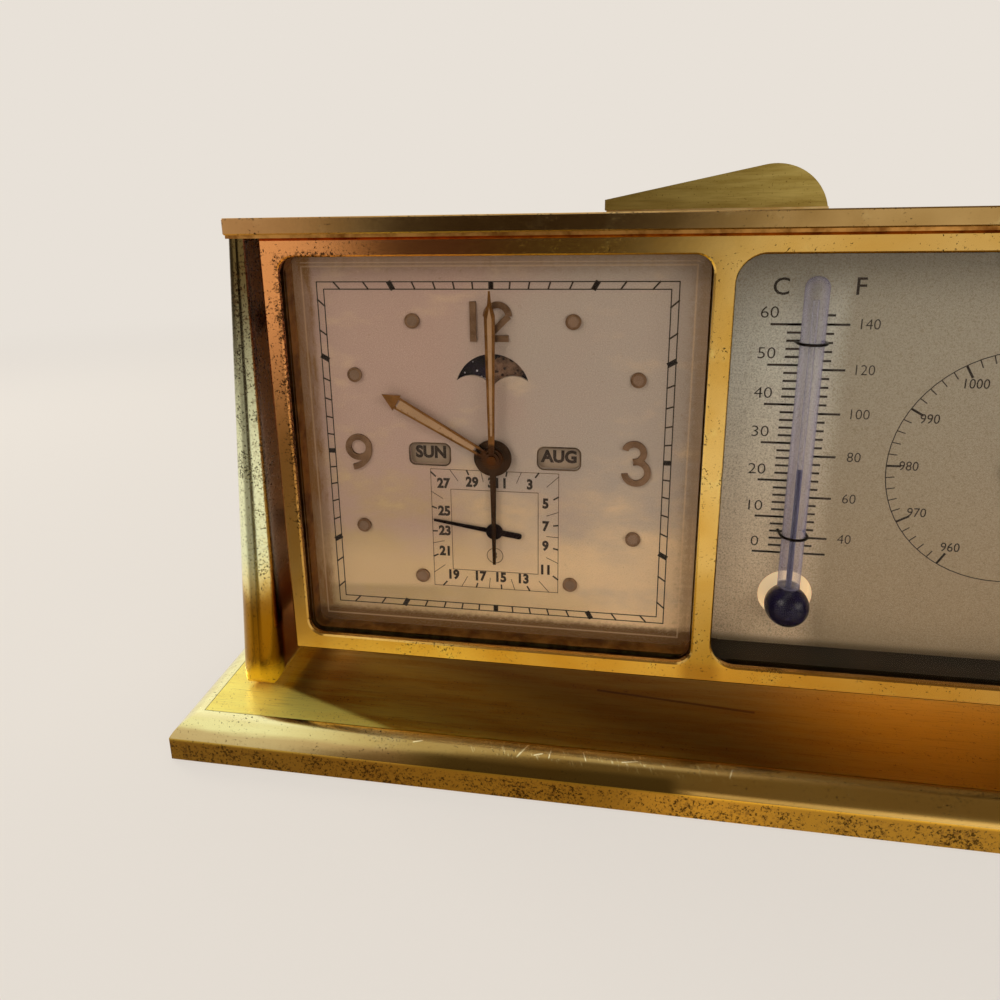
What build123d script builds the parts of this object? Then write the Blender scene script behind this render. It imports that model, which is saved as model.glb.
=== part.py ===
from build123d import *
import math
import os

os.makedirs("parts", exist_ok=True)

# Desk clock with calendar and moon dial beside a thermometer and barometer, in a gilt brass case.
# Millimetres. +X right, +Y to the back, +Z up, origin under the middle of the base.

# Shared fits
cut_run = 1.0
fit_gap = 0.05
run_gap = 0.05
thread_gap = 0.02
free_gap = 0.3
skin = 0.02

# Base
base_over_x = 6.85
base_over_y = 11.2
base_h = 6.75
roll_w = 4.35
roll_drop = 2.7
panel_t = 0.8
felt_t = 1.0
felt_proud = 0.4
felt_inset = 3.0

# Case and its two square windows
window = 64.0
window_r_clock = 2.6
window_r_weather = 4.0
side_margin = 2.8
top_margin = 2.8
low_margin = 3.0
divider = 3.0
case_depth = 40.0
case_lift = 9.0
case_edge = 0.4
window_edge = 0.25
shell_wall = 1.2
partition_t = 1.2
face_t = 5.0
skirt_len = 3.0
lip_t = 1.0
lip_w = 0.8
rebate_r = 1.6
ledge_grip = 1.6
ledge_t = 1.5
corner_post_r = 2.2
corner_post_len = 10.5
rear_cover_t = 1.5
vent_r = 1.0
vent_pitch = 5.0
vent_count = 5

# Side cheeks
cheek_top_gap = 2.3
cheek_low_gap = 3.85
cheek_top_t = 2.7
cheek_low_t = 8.0
cheek_nose_share = 0.45
cheek_foot_r = 3.7
cheek_toe_r = 2.5

# Top plate and the thin plate under it
plate_over_x = 0.1
plate_over_y = 0.8
plate_t = 2.5
plate_edge = 0.2
under_t = 0.5
under_inset = 0.3

# Screws and posts
base_screw_r = 1.25
base_screw_head_r = 2.4
base_screw_head_t = 1.6
base_screw_grip = 7.0
base_screw_y = 13.0
post_r = 2.0
post_stud_r = 1.0
post_stud_grip = 1.6
post_rise = 15.0
top_screw_r = 0.8
top_screw_head_r = 1.6
top_screw_head_t = 1.0
top_screw_grip = 1.7
top_screw_in = 13.3
top_screw_gap = 0.3
frame_screw_r = 0.7
frame_screw_head_r = 1.4
frame_screw_head_t = 0.7
frame_screw_back = 6.5
frame_screw_in = 12.0
cover_screw_r = 0.9
cover_screw_head_r = 1.7
cover_screw_head_t = 0.8
cover_screw_grip = 5.0
slot_w = 0.4
slot_depth_share = 0.45

# Crystals, rings and dials
flange_clock = 1.7
flange_weather = 1.4
crystal_recess = 0.3
crystal_bevel = 0.9
dial_depth = 5.2
dial_t = 0.6
ring_wall = 1.0
weather_depth = 7.8
weather_t = 0.8

# Moon aperture, calendar windows and discs
moon_r = 5.93
moon_z_share = 0.16985
moon_lobe_r = 3.82
moon_lobe_x = 3.3
moon_lobe_drop = 1.37
moon_disc_r = 7.2
word_w = 6.6
word_h = 3.5
word_r = 0.9
word_x_share = 0.16485
word_edge = 3.95
name_disc_gap = 2.15
disc_t = 0.4
disc_gap = 0.3
disc_bore_r = 0.8
disc_seat_r = 1.3

# Applied markers on the clock dial
marker_t = 0.35
marker_stroke = 1.0
numeral_h = 6.2
numeral_half_w = 2.25
nine_tail_shares = (0.6, -0.55, -0.6)
one_x = 2.85
two_x = 0.95
twelve_share = 0.3414
side_numeral_share = 0.3531
dot_r = 1.2
dot_shares = [(0.1961, 0.3422), (0.3516, 0.2047)]

# Hands. Depths are in front of the dial
minute_margin = 5.3
minute_point = 3.7
minute_w = 1.7
minute_root_w = 0.9
minute_tip_w = 0.3
hour_margin = 11.5
hour_point = 2.8
hour_head_w = 2.9
hour_w = 2.1
hour_root_w = 1.3
hour_rim = 0.42
alarm_margin = 13.3
alarm_w = 1.1
alarm_tip_w = 0.5
date_len = 10.3
date_tail = 4.6
date_w = 0.75
date_tail_w = 0.95
date_hub_r = 1.4
hand_t = 0.22
date_front = 0.45
alarm_front = 0.95
hour_front = 1.45
minute_front = 1.95
tip_front = 2.2
alarm_hub_r = 3.05
hour_hub_r = 1.7
minute_hub_r = 1.25
hour_angle = 300.0
alarm_angle = 180.0
date_angle = 278.7
date_z_share = -0.2031

# Arbors and pipes on the centre line
arbor_r = 0.75
hour_pipe_r = 1.25
alarm_pipe_r = 1.75
date_arbor_r = 0.5

# Movement
calendar_gap = 1.3
calendar_t = 1.5
motion_gap = 3.0
plate_margin = 6.2
plate_corner_r = 4.0
movement_plate_t = 1.5
movement_room = 13.0
pillar_in = 3.5
pillar_r = 2.0
pillar_neck_r = 1.2
movement_screw_r = 0.9
movement_screw_head_r = 1.8
movement_screw_head_t = 1.2
pivot_r = 0.5
wheel_t = 0.6
wheel_hub_r = 1.4
spoke_hole_share = 0.36
tooth_height_share = 3.0
mesh_gap = 0.2
escape_wheel_r = 4.2
balance_gap = 0.77
balance_rim = 1.1
balance_t = 1.0
balance_y = 3.0
barrel_step = 0.45
barrel_wall = 0.7
barrel_len = 7.0
barrel_gap = 1.0
alarm_barrel_gap = 1.6
alarm_barrel_len = 5.0
winding_r = 1.3

# Places of the arbors, from the middle of the dial, as shares of the movement plates' side
barrel_shares = (-0.192, -0.144)
alarm_barrel_shares = (0.25, -0.24)
third_shares = (0.152, 0.104)
escape_shares = (0.122, 0.253)
balance_shares = (0.268, 0.34)
alarm_set_shares = (-0.185, 0.185)
minute_wheel_share = 0.194
minute_wheel_angle = 225.0
pusher_in = 3.7
pusher_z = 12.0

# Teeth. Each pair's pitch radii share the distance between their arbors
cannon_teeth = 12
minute_teeth = 36
minute_pinion_teeth = 10
hour_teeth = 40
alarm_teeth = 48
alarm_pinion_teeth = 24
barrel_teeth = 64
center_pinion_teeth = 8
center_teeth = 56
third_pinion_teeth = 7
third_teeth = 54
escape_pinion_teeth = 6
escape_teeth = 15
alarm_barrel_teeth = 60
crossings = 5

# Controls on the rear cover
key_gap = 0.8
key_hub_r = 2.3
key_len = 9.6
key_lobe_r = 3.4
key_lobe_x = 4.4
key_hole_r = 1.3
key_t = 1.4
knob_r = 3.1
knob_gap = 1.0
knob_len = 6.5
knob_rim = 0.4
pusher_r = 1.0
pusher_head_r = 1.9
pusher_head_t = 1.4
pusher_rise = 1.5
pusher_reach = 1.5
pusher_sleeve_r = 2.0
pusher_sleeve_len = 5.4

# Thermometer
tube_in = 12.15
tube_r = 1.7
tube_bore_r = 0.45
bulb_r = 3.4
bulb_wall = 0.5
bulb_rise = 8.4
tube_drop = 3.4
spirit_rise = 22.9
spirit_gap = 0.03
bulb_hole_r = 4.2
bulb_hole_lift = 1.0
bulb_cup_depth = 2.0
bulb_cup_wall = 0.4
clip_wire_r = 0.22
clip_drop = 9.7
clip_rise = 12.2

# Barometer
baro_in = 21.0
baro_arbor_r = 0.6
baro_hub_r = 2.0
baro_len = 13.5
baro_tail = 6.0
baro_w = 0.9
baro_front = 0.8
baro_disc_r = 17.0
baro_disc_t = 1.2
baro_post_r = 1.2
baro_post_at = 13.5
baro_post_len = 2.0
capsule_r = 15.0
capsule_fold = 1.2
capsule_folds = 4
capsule_fold_t = 1.4

# Compass on the top plate
comp_low_x = 16.75
comp_high_x = 15.9
comp_w = 17.0
comp_low_h = 1.5
comp_round_r = 7.75
comp_round_x = 7.85
comp_round_drop = 1.55
comp_washer_t = 0.33
comp_washer_inset = 0.25
comp_pivot_r = 1.5
comp_pivot_len = 1.8
comp_dish_x = -1.4
comp_dish_r = 6.9
comp_dish_depth = 3.0
comp_card_t = 0.5
comp_pin_r = 0.35
comp_pin_h = 1.1
comp_needle_r = 5.4
comp_needle_w = 1.5
comp_needle_t = 0.3
comp_needle_hub_r = 0.9
comp_glass_t = 0.8
comp_rim = 0.25

# Worked out from the sizes above
rebate = window + 2 * lip_w
ledge_open = rebate - 2 * ledge_grip
insert = rebate - 2 * fit_gap
base_top = felt_proud + base_h
case_w = 2 * side_margin + 2 * window + divider
case_h = low_margin + window + top_margin
base_len = case_w + 2 * (cheek_low_gap + cheek_low_t + base_over_x)
base_depth = case_depth + 2 * base_over_y
plate_len = case_w + 2 * (cheek_top_gap + cheek_top_t + plate_over_x)
case_z0 = base_top + case_lift
case_z1 = case_z0 + case_h
case_zm = (case_z0 + case_z1) / 2
front = -case_depth / 2
back = case_depth / 2
cover_y = back - rear_cover_t
dial_x = -(window + divider) / 2
weather_x = (window + divider) / 2
dial_z = case_z0 + low_margin + window / 2
plate_z0 = case_z1 + under_t
plate_z1 = plate_z0 + plate_t
inner_w = case_w - 2 * shell_wall
inner_h = case_h - 2 * shell_wall
dial_y = front + dial_depth
dial_back = dial_y + dial_t
calendar_y = dial_back + calendar_gap
calendar_back = calendar_y + calendar_t
calendar_open = insert - 2 * ring_wall
movement_y = calendar_back + motion_gap
room_y = movement_y + movement_plate_t
rear_plate_y = room_y + movement_room
rear_plate_back = rear_plate_y + movement_plate_t
weather_y = front + weather_depth
weather_back = weather_y + weather_t
top_screw_x = case_w / 2 - top_screw_in
top_screw_y = -(calendar_back + ledge_t) - top_screw_head_r - top_screw_gap
frame_screw_z = window / 2 - frame_screw_in
pusher_x = window / 2 - pusher_in

# On the dial
moon_z = window * moon_z_share
date_z = window * date_z_share
word_x = window * word_x_share
name_ring_r = (calendar_open / 2 - word_x - word_edge - name_disc_gap) / 2
name_disc_r = name_ring_r + word_edge
minute_len = window / 2 - minute_margin
hour_len = window / 2 - hour_margin
alarm_len = window / 2 - alarm_margin

# In the movement
plate_size = ledge_open - 2 * plate_margin
pillar_at = plate_size / 2 - pillar_in
barrel_x, barrel_z = [plate_size * share for share in barrel_shares]
alarm_barrel_x, alarm_barrel_z = [plate_size * share for share in alarm_barrel_shares]
third_x, third_z = [plate_size * share for share in third_shares]
escape_x, escape_z = [plate_size * share for share in escape_shares]
balance_x, balance_z = [plate_size * share for share in balance_shares]
alarm_set_x, alarm_set_z = [plate_size * share for share in alarm_set_shares]
minute_wheel_at = plate_size * minute_wheel_share
balance_r = math.hypot(pillar_at - balance_x, pillar_at - balance_z) - pillar_r - balance_gap
alarm_barrel_r = math.hypot(pillar_at - alarm_barrel_x, pillar_at + alarm_barrel_z) - pillar_r - alarm_barrel_gap

# On the weather side, heights from the middle of the window
tube_x = weather_x - window / 2 + tube_in
baro_x = weather_x + window / 2 - baro_in
bulb_z = bulb_rise - window / 2
tube_top_z = window / 2 - tube_drop
spirit_top_z = bulb_z + spirit_rise
bulb_hole_z = bulb_z + bulb_hole_lift
clip_high_z = tube_top_z - clip_drop
clip_low_z = bulb_z + clip_rise


# Building blocks

def save(name, *shapes):
    solids = [solid for shape in shapes for solid in shape.solids()]
    export_step(Compound(solids), "parts/" + name + ".step")


def block(x0, x1, y0, y1, z0, z1):
    return Pos((x0 + x1) / 2, (y0 + y1) / 2, (z0 + z1) / 2) * Box(x1 - x0, y1 - y0, z1 - z0)


def upright(x, y, z):
    # a drawing plane that faces the front, with its own Y upwards
    return Plane(origin=(x, y, z), x_dir=(1, 0, 0), z_dir=(0, -1, 0))


def thick(sketch, x, z, y0, y1):
    return extrude(upright(x, y0, z) * sketch, amount=y1 - y0, dir=(0, 1, 0))


def tile(x, z, w, h, r, y0, y1):
    return thick(RectangleRounded(w, h, r), x, z, y0, y1)


def rod(x, z, r, y0, y1):
    return thick(Circle(r), x, z, y0, y1)


def sleeve(x, z, r_out, r_in, y0, y1):
    return thick(Circle(r_out) - Circle(r_in), x, z, y0, y1)


def pin(x, y, r, z0, z1):
    return Pos(x, y, (z0 + z1) / 2) * Cylinder(r, z1 - z0)


def cross_rod(y, z, r, x0, x1):
    return Pos((x0 + x1) / 2, y, z) * Rot(0, 90, 0) * Cylinder(r, abs(x1 - x0))


def around(angle, radius):
    # a point at a clock angle, clockwise from the top
    return radius * math.sin(math.radians(angle)), radius * math.cos(math.radians(angle))


def tooth_tip(pitch_r):
    return pitch_r - mesh_gap / 2


def tooth_root(pitch_r, teeth):
    return tooth_tip(pitch_r) - tooth_height_share * pitch_r / teeth


def wheel(x, z, pitch_r, teeth, y0, y1, spokes=0):
    # straight-sided teeth that end just inside the pitch circle, and round holes between the crossings
    tip = tooth_tip(pitch_r)
    root = tooth_root(pitch_r, teeth)
    step = 360 / teeth
    tooth_shares = [(-0.27, root), (-0.12, tip), (0.12, tip), (0.27, root)]
    points = [around((n + share) * step, radius) for n in range(teeth) for share, radius in tooth_shares]
    face = make_face(Polyline(*points, close=True))
    for n in range(spokes):
        middle = (wheel_hub_r + root) / 2
        face -= Pos(*around(360 / spokes * n, middle)) * Circle((root - wheel_hub_r) * spoke_hole_share)
    return thick(face, x, z, y0, y1)


def pitch_radii(distance, first_teeth, second_teeth):
    whole = first_teeth + second_teeth
    return distance * first_teeth / whole, distance * second_teeth / whole


def fuse(first, *rest):
    whole = first
    for shape in rest:
        whole = whole + shape
    return whole


# Base

def base_profile(length, top, roll):
    # a low plinth section: upright lower edge, then a roll up to the flat top
    half = length / 2
    corner = half - roll
    right = TangentArc((corner, top), (half, top - roll_drop), tangent=(1, 0))
    left = TangentArc((-corner, top), (-half, top - roll_drop), tangent=(-1, 0))
    low = Polyline((half, top - roll_drop), (half, felt_proud), (-half, felt_proud), (-half, top - roll_drop))
    return make_face([Line((-corner, top), (corner, top)), right, low, left])


def cheek_x(z):
    # inner and outer face of a cheek at a height, both leaning outwards to the foot
    share = (z - base_top) / (case_z1 - base_top)
    gap = cheek_low_gap + (cheek_top_gap - cheek_low_gap) * share
    t = cheek_low_t + (cheek_top_t - cheek_low_t) * share
    return case_w / 2 + gap, case_w / 2 + gap + t


def base_screw_places():
    inner, outer = cheek_x(base_top)
    x = (inner + outer) / 2
    return [(side * x, end * base_screw_y) for side in (-1, 1) for end in (-1, 1)]


def make_base():
    long_way = extrude(Plane.YZ * base_profile(base_depth, base_top, roll_w), amount=base_len / 2, both=True)
    cross_way = extrude(Plane.XZ * base_profile(base_len, base_top, roll_w), amount=base_depth / 2, both=True)
    moulding = long_way & cross_way
    panel_x = base_len / 2 - roll_w
    panel_y = base_depth / 2 - roll_w
    panel_z = base_top - panel_t
    moulding -= block(-panel_x, panel_x, -panel_y, panel_y, panel_z, base_top + cut_run)
    felt_x = base_len / 2 - felt_inset
    felt_y = base_depth / 2 - felt_inset
    moulding -= block(-felt_x, felt_x, -felt_y, felt_y, 0, felt_t)
    panel = block(-panel_x + fit_gap, panel_x - fit_gap, -panel_y + fit_gap, panel_y - fit_gap, panel_z, base_top)
    felt = block(-felt_x + fit_gap, felt_x - fit_gap, -felt_y + fit_gap, felt_y - fit_gap, 0, felt_t)
    for x, y in base_screw_places():
        hole = pin(x, y, base_screw_r + thread_gap, 0, base_top + cut_run)
        moulding -= hole + pin(x, y, base_screw_head_r + fit_gap, 0, felt_t + base_screw_head_t)
        panel -= hole
    save("base_moulding", moulding)
    save("base_panel", panel)
    save("base_felt", felt)


def make_base_screws():
    screws = []
    for x, y in base_screw_places():
        head = pin(x, y, base_screw_head_r, felt_t, felt_t + base_screw_head_t)
        shank = pin(x, y, base_screw_r, felt_t, base_top + base_screw_grip)
        slot = block(x - base_screw_head_r, x + base_screw_head_r, y - slot_w / 2, y + slot_w / 2,
                     felt_t, felt_t + base_screw_head_t * slot_depth_share)
        screws.append(head + shank - slot)
    save("base_screws", *screws)


# Cheeks and the posts that hold the case between them

def cheek_section(z):
    inner, outer = cheek_x(z)
    t = outer - inner
    plane = Plane(origin=((inner + outer) / 2, 0, z), x_dir=(1, 0, 0), z_dir=(0, 0, 1))
    return plane * RectangleRounded(t, case_depth, t * cheek_nose_share)


def cheek_right():
    body = loft([cheek_section(base_top), cheek_section(case_z1)], ruled=True)
    in_low, out_low = cheek_x(base_top)
    in_top, out_top = cheek_x(case_z1)
    corners = [(in_low - skin, base_top), (out_low + skin, base_top), (out_top + skin, case_z1),
               (in_top - skin, case_z1)]
    face = make_face(Polyline(*corners, close=True))
    foot = face.vertices().sort_by(Axis.Y)[:2]
    side_mask = extrude(Plane.XZ * fillet(foot, cheek_foot_r), amount=case_depth, both=True)
    half = case_depth / 2 + skin
    end = Pos(0, (base_top + case_z1) / 2) * Rectangle(2 * half, case_z1 - base_top)
    toes = end.vertices().sort_by(Axis.Y)[:2]
    end_mask = extrude(Plane.YZ * fillet(toes, cheek_toe_r), amount=base_len, both=True)
    return body & side_mask & end_mask


def side_post_places():
    return [(0, case_z0 + post_rise), (0, case_z1 - post_rise)]


def make_cheeks():
    body = cheek_right()
    for x, y in base_screw_places():
        if x > 0:
            body -= pin(x, y, base_screw_r + thread_gap, 0, base_top + base_screw_grip + free_gap)
    posts = []
    for y, z in side_post_places():
        inner, outer = cheek_x(z)
        start = case_w / 2
        stud_end = inner + post_stud_grip
        body -= cross_rod(y, z, post_stud_r + thread_gap, start, stud_end + free_gap)
        collar_end = min(cheek_x(z - post_r)[0], cheek_x(z + post_r)[0])
        posts.append(cross_rod(y, z, post_r, start, collar_end)
                     + cross_rod(y, z, post_stud_r, start - shell_wall, stud_end))
    save("right_cheek", body)
    save("left_cheek", mirror(body, about=Plane.YZ))
    save("side_posts", *posts, *[mirror(post, about=Plane.YZ) for post in posts])


# Top plate

def plate_slab(inset, z0, z1):
    x = plate_len / 2 - inset
    y = case_depth / 2 + plate_over_y - inset
    return block(-x, x, -y, y, z0, z1)


def top_screw_places():
    return [(x, y) for x in (-top_screw_x, top_screw_x) for y in (-top_screw_y, top_screw_y)]


def make_top():
    plate = plate_slab(0, plate_z0, plate_z1)
    plate = chamfer(plate.edges(), plate_edge)
    plate -= pin(0, 0, comp_pivot_r + run_gap, plate_z1 - comp_pivot_len - free_gap, plate_z1 + cut_run)
    under = plate_slab(under_inset, case_z1, plate_z0)
    screws = []
    wall_z = case_z1 - shell_wall
    for x, y in top_screw_places():
        hole = pin(x, y, top_screw_r + thread_gap, wall_z, plate_z0 + top_screw_grip)
        plate -= hole
        under -= hole
        shank = pin(x, y, top_screw_r, wall_z - top_screw_head_t, plate_z0 + top_screw_grip)
        head = pin(x, y, top_screw_head_r, wall_z - top_screw_head_t, wall_z)
        slot = block(x - top_screw_head_r, x + top_screw_head_r, y - slot_w / 2, y + slot_w / 2,
                     wall_z - top_screw_head_t, wall_z - top_screw_head_t * (1 - slot_depth_share))
        screws.append(shank + head - slot)
    save("top_plate", plate)
    save("under_plate", under)
    save("top_plate_screws", *screws)


# Case

def frame_screw_places():
    return [(side, dial_z + up * frame_screw_z) for side in (-1, 1) for up in (-1, 1)]


def make_front_frame():
    face_back = front + face_t
    skirt_back = face_back + skirt_len
    frame = tile(0, case_zm, case_w, case_h, case_edge, front, face_back)
    skirt_w = inner_w - 2 * fit_gap
    skirt_h = inner_h - 2 * fit_gap
    frame += tile(0, case_zm, skirt_w, skirt_h, case_edge, face_back, skirt_back)
    for x, r in ((dial_x, window_r_clock), (weather_x, window_r_weather)):
        frame -= tile(x, dial_z, window, window, r, front - cut_run, skirt_back)
        frame -= tile(x, dial_z, rebate, rebate, rebate_r, front + lip_t, skirt_back + cut_run)
    face = frame.faces().sort_by(Axis.Y)[0]
    frame = chamfer(face.outer_wire().edges(), case_edge)
    face = frame.faces().sort_by(Axis.Y)[0]
    rims = [edge for wire in face.inner_wires() for edge in wire.edges()]
    frame = chamfer(rims, window_edge)
    y = front + frame_screw_back
    for side, z in frame_screw_places():
        frame -= cross_rod(y, z, frame_screw_r + thread_gap, side * (rebate / 2 + weather_x), side * case_w / 2)
    save("front_frame", frame)


def make_frame_screws():
    y = front + frame_screw_back
    screws = []
    for side, z in frame_screw_places():
        out = side * case_w / 2
        head_end = out + side * frame_screw_head_t
        shank = cross_rod(y, z, frame_screw_r, side * (weather_x + rebate / 2 + fit_gap), head_end)
        head = cross_rod(y, z, frame_screw_head_r, out, head_end)
        slot_x = sorted((head_end, head_end - side * frame_screw_head_t * slot_depth_share))
        slot = block(slot_x[0], slot_x[1], y - slot_w / 2, y + slot_w / 2,
                     z - frame_screw_head_r, z + frame_screw_head_r)
        screws.append(shank + head - slot)
    save("frame_screws", *screws)


def cover_screw_places():
    x = inner_w / 2 - corner_post_r
    z = inner_h / 2 - corner_post_r
    return [(side * x, case_zm + up * z) for side in (-1, 1) for up in (-1, 1)]


def make_case_shell():
    y0 = front + face_t
    shell = block(-case_w / 2, case_w / 2, y0, back, case_z0, case_z1)
    shell -= block(-inner_w / 2, inner_w / 2, y0 - cut_run, back + cut_run,
                   case_z0 + shell_wall, case_z1 - shell_wall)
    ledge = block(-inner_w / 2, inner_w / 2, calendar_back, calendar_back + ledge_t,
                  case_z0 + shell_wall, case_z1 - shell_wall)
    for x in (dial_x, weather_x):
        ledge -= tile(x, dial_z, ledge_open, ledge_open, rebate_r, calendar_back - cut_run,
                      calendar_back + ledge_t + cut_run)
    shell += ledge
    shell += block(-partition_t / 2, partition_t / 2, calendar_back, cover_y,
                   case_z0 + shell_wall, case_z1 - shell_wall)
    for x, z in cover_screw_places():
        reach_x = math.copysign(inner_w / 2, x)
        reach_z = case_zm + math.copysign(inner_h / 2, z - case_zm)
        y1 = cover_y - corner_post_len
        post = block(*sorted((x, reach_x)), y1, cover_y, *sorted((z, reach_z)))
        shell += rod(x, z, corner_post_r, y1, cover_y) + post
    for x, z in cover_screw_places():
        shell -= rod(x, z, cover_screw_r + thread_gap, cover_y - cover_screw_grip - free_gap, back)
    for side, z in frame_screw_places():
        shell -= cross_rod(front + frame_screw_back, z, frame_screw_r + thread_gap,
                           side * inner_w / 2, side * (case_w / 2 + cut_run))
    for y, z in side_post_places():
        for side in (-1, 1):
            shell -= cross_rod(y, z, post_stud_r + thread_gap, side * inner_w / 2, side * (case_w / 2 + cut_run))
    for x, y in top_screw_places():
        shell -= pin(x, y, top_screw_r + thread_gap, case_z1 - shell_wall, case_z1 + cut_run)
    save("case_shell", shell)


def rear_controls():
    # hole radius and place of each control that comes out through the rear cover
    return [
        (dial_x, dial_z, arbor_r + free_gap),
        (dial_x + barrel_x, dial_z + barrel_z, winding_r + free_gap),
        (dial_x + alarm_barrel_x, dial_z + alarm_barrel_z, winding_r + free_gap),
        (dial_x + alarm_set_x, dial_z + alarm_set_z, arbor_r + free_gap),
        (dial_x - pusher_x, dial_z + pusher_z, pusher_r + run_gap),
        (dial_x + pusher_x, dial_z + pusher_z, pusher_r + run_gap),
    ]


def make_rear_cover():
    cover = block(-inner_w / 2 + fit_gap, inner_w / 2 - fit_gap, cover_y, back,
                  case_z0 + shell_wall + fit_gap, case_z1 - shell_wall - fit_gap)
    for x, z, r in rear_controls():
        cover -= rod(x, z, r, cover_y - cut_run, back + cut_run)
    for n in range(vent_count):
        x = weather_x + (n - (vent_count - 1) / 2) * vent_pitch
        for z in (dial_z - vent_pitch, dial_z, dial_z + vent_pitch):
            cover -= rod(x, z, vent_r, cover_y - cut_run, back + cut_run)
    screws = []
    for x, z in cover_screw_places():
        cover -= rod(x, z, cover_screw_r + thread_gap, cover_y - cut_run, back + cut_run)
        shank = rod(x, z, cover_screw_r, cover_y - cover_screw_grip, back)
        head = rod(x, z, cover_screw_head_r, back, back + cover_screw_head_t)
        slot = block(x - cover_screw_head_r, x + cover_screw_head_r,
                     back + cover_screw_head_t * (1 - slot_depth_share), back + cover_screw_head_t,
                     z - slot_w / 2, z + slot_w / 2)
        screws.append(shank + head - slot)
    save("rear_cover", cover)
    save("rear_cover_screws", *screws)


# Crystals and the rings between crystal and dial

def make_crystals():
    rows = (("clock", dial_x, window_r_clock, flange_clock, dial_y),
            ("weather", weather_x, window_r_weather, flange_weather, weather_y))
    for name, x, r, flange, dial_front in rows:
        y0 = front + lip_t
        y1 = y0 + flange
        glass = tile(x, dial_z, insert, insert, rebate_r, y0, y1)
        pad = window - 2 * fit_gap
        glass += tile(x, dial_z, pad, pad, r - fit_gap, front + crystal_recess, y0)
        face = glass.faces().sort_by(Axis.Y)[0]
        glass = chamfer(face.outer_wire().edges(), lip_t - crystal_recess - fit_gap, crystal_bevel)
        open_w = insert - 2 * ring_wall
        ring = tile(x, dial_z, insert, insert, rebate_r, y1, dial_front)
        ring -= tile(x, dial_z, open_w, open_w, rebate_r, y1 - cut_run, dial_front + cut_run)
        save(name + "_crystal", glass)
        save(name + "_rehaut", ring)


# Clock dial

def moon_opening():
    # a round top over two lobes that meet in a cusp
    opening = Pos(0, moon_z) * Circle(moon_r)
    lobe_z = moon_z - moon_lobe_drop
    opening -= Pos(0, lobe_z - moon_r) * Rectangle(2 * moon_r, 2 * moon_r)
    for side in (-1, 1):
        opening -= Pos(side * moon_lobe_x, lobe_z) * Circle(moon_lobe_r)
    return opening


def make_clock_dial():
    face = RectangleRounded(insert, insert, rebate_r)
    face -= Circle(alarm_pipe_r + 2 * run_gap)
    face -= Pos(0, date_z) * Circle(date_arbor_r + run_gap)
    face -= moon_opening()
    for side in (-1, 1):
        face -= Pos(side * word_x, 0) * RectangleRounded(word_w, word_h, word_r)
    save("clock_dial", thick(face, dial_x, dial_z, dial_y, dial_back))


def stroke(path):
    return trace(path, line_width=marker_stroke)


def numeral_one():
    return Rectangle(marker_stroke, numeral_h)


def numeral_two():
    top = numeral_h / 2 - marker_stroke / 2
    side = numeral_half_w - marker_stroke / 2
    bow = ThreePointArc((-side, top - side), (0, top), (side, top - side))
    slant = Line((side, top - side), (-side, -top))
    foot = Line((-side, -top), (side, -top))
    return stroke(bow) + stroke(slant) + stroke(foot)


def numeral_three():
    top = numeral_h / 2 - marker_stroke / 2
    side = numeral_half_w - marker_stroke / 2
    ring_r = top / 2
    waist = -side / 4
    upper = ThreePointArc((-side, top - ring_r / 2), (side / 2, top - ring_r / 4), (waist, 0))
    lower = ThreePointArc((waist, 0), (side, -ring_r), (-side, -top + ring_r / 2))
    return stroke(upper) + stroke(lower)


def numeral_nine():
    top = numeral_h / 2 - marker_stroke / 2
    side = numeral_half_w - marker_stroke / 2
    ring = Pos(0, top - side) * (Circle(side + marker_stroke / 2) - Circle(side - marker_stroke / 2))
    bend, low, foot = nine_tail_shares
    tail = ThreePointArc((side, top - side), (side * bend, top * low), (side * foot, -top))
    return ring + stroke(tail)


def make_markers():
    y0 = dial_y - marker_t
    twelve_z = dial_z + window * twelve_share
    side_x = window * side_numeral_share
    parts = [
        thick(numeral_one(), dial_x - one_x, twelve_z, y0, dial_y),
        thick(numeral_two(), dial_x + two_x, twelve_z, y0, dial_y),
        thick(numeral_nine(), dial_x - side_x, dial_z, y0, dial_y),
        thick(numeral_three(), dial_x + side_x, dial_z, y0, dial_y),
    ]
    for across, up in dot_shares:
        for x in (-window * across, window * across):
            for z in (-window * up, window * up):
                parts.append(rod(dial_x + x, dial_z + z, dot_r, y0, dial_y))
    save("hour_markers", *parts)


# Calendar work behind the dial

def disc_places():
    shift = word_x + name_ring_r
    return {"day_disc": (-shift, 0, name_disc_r), "month_disc": (shift, 0, name_disc_r),
            "moon_disc": (0, moon_z, moon_disc_r)}


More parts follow.
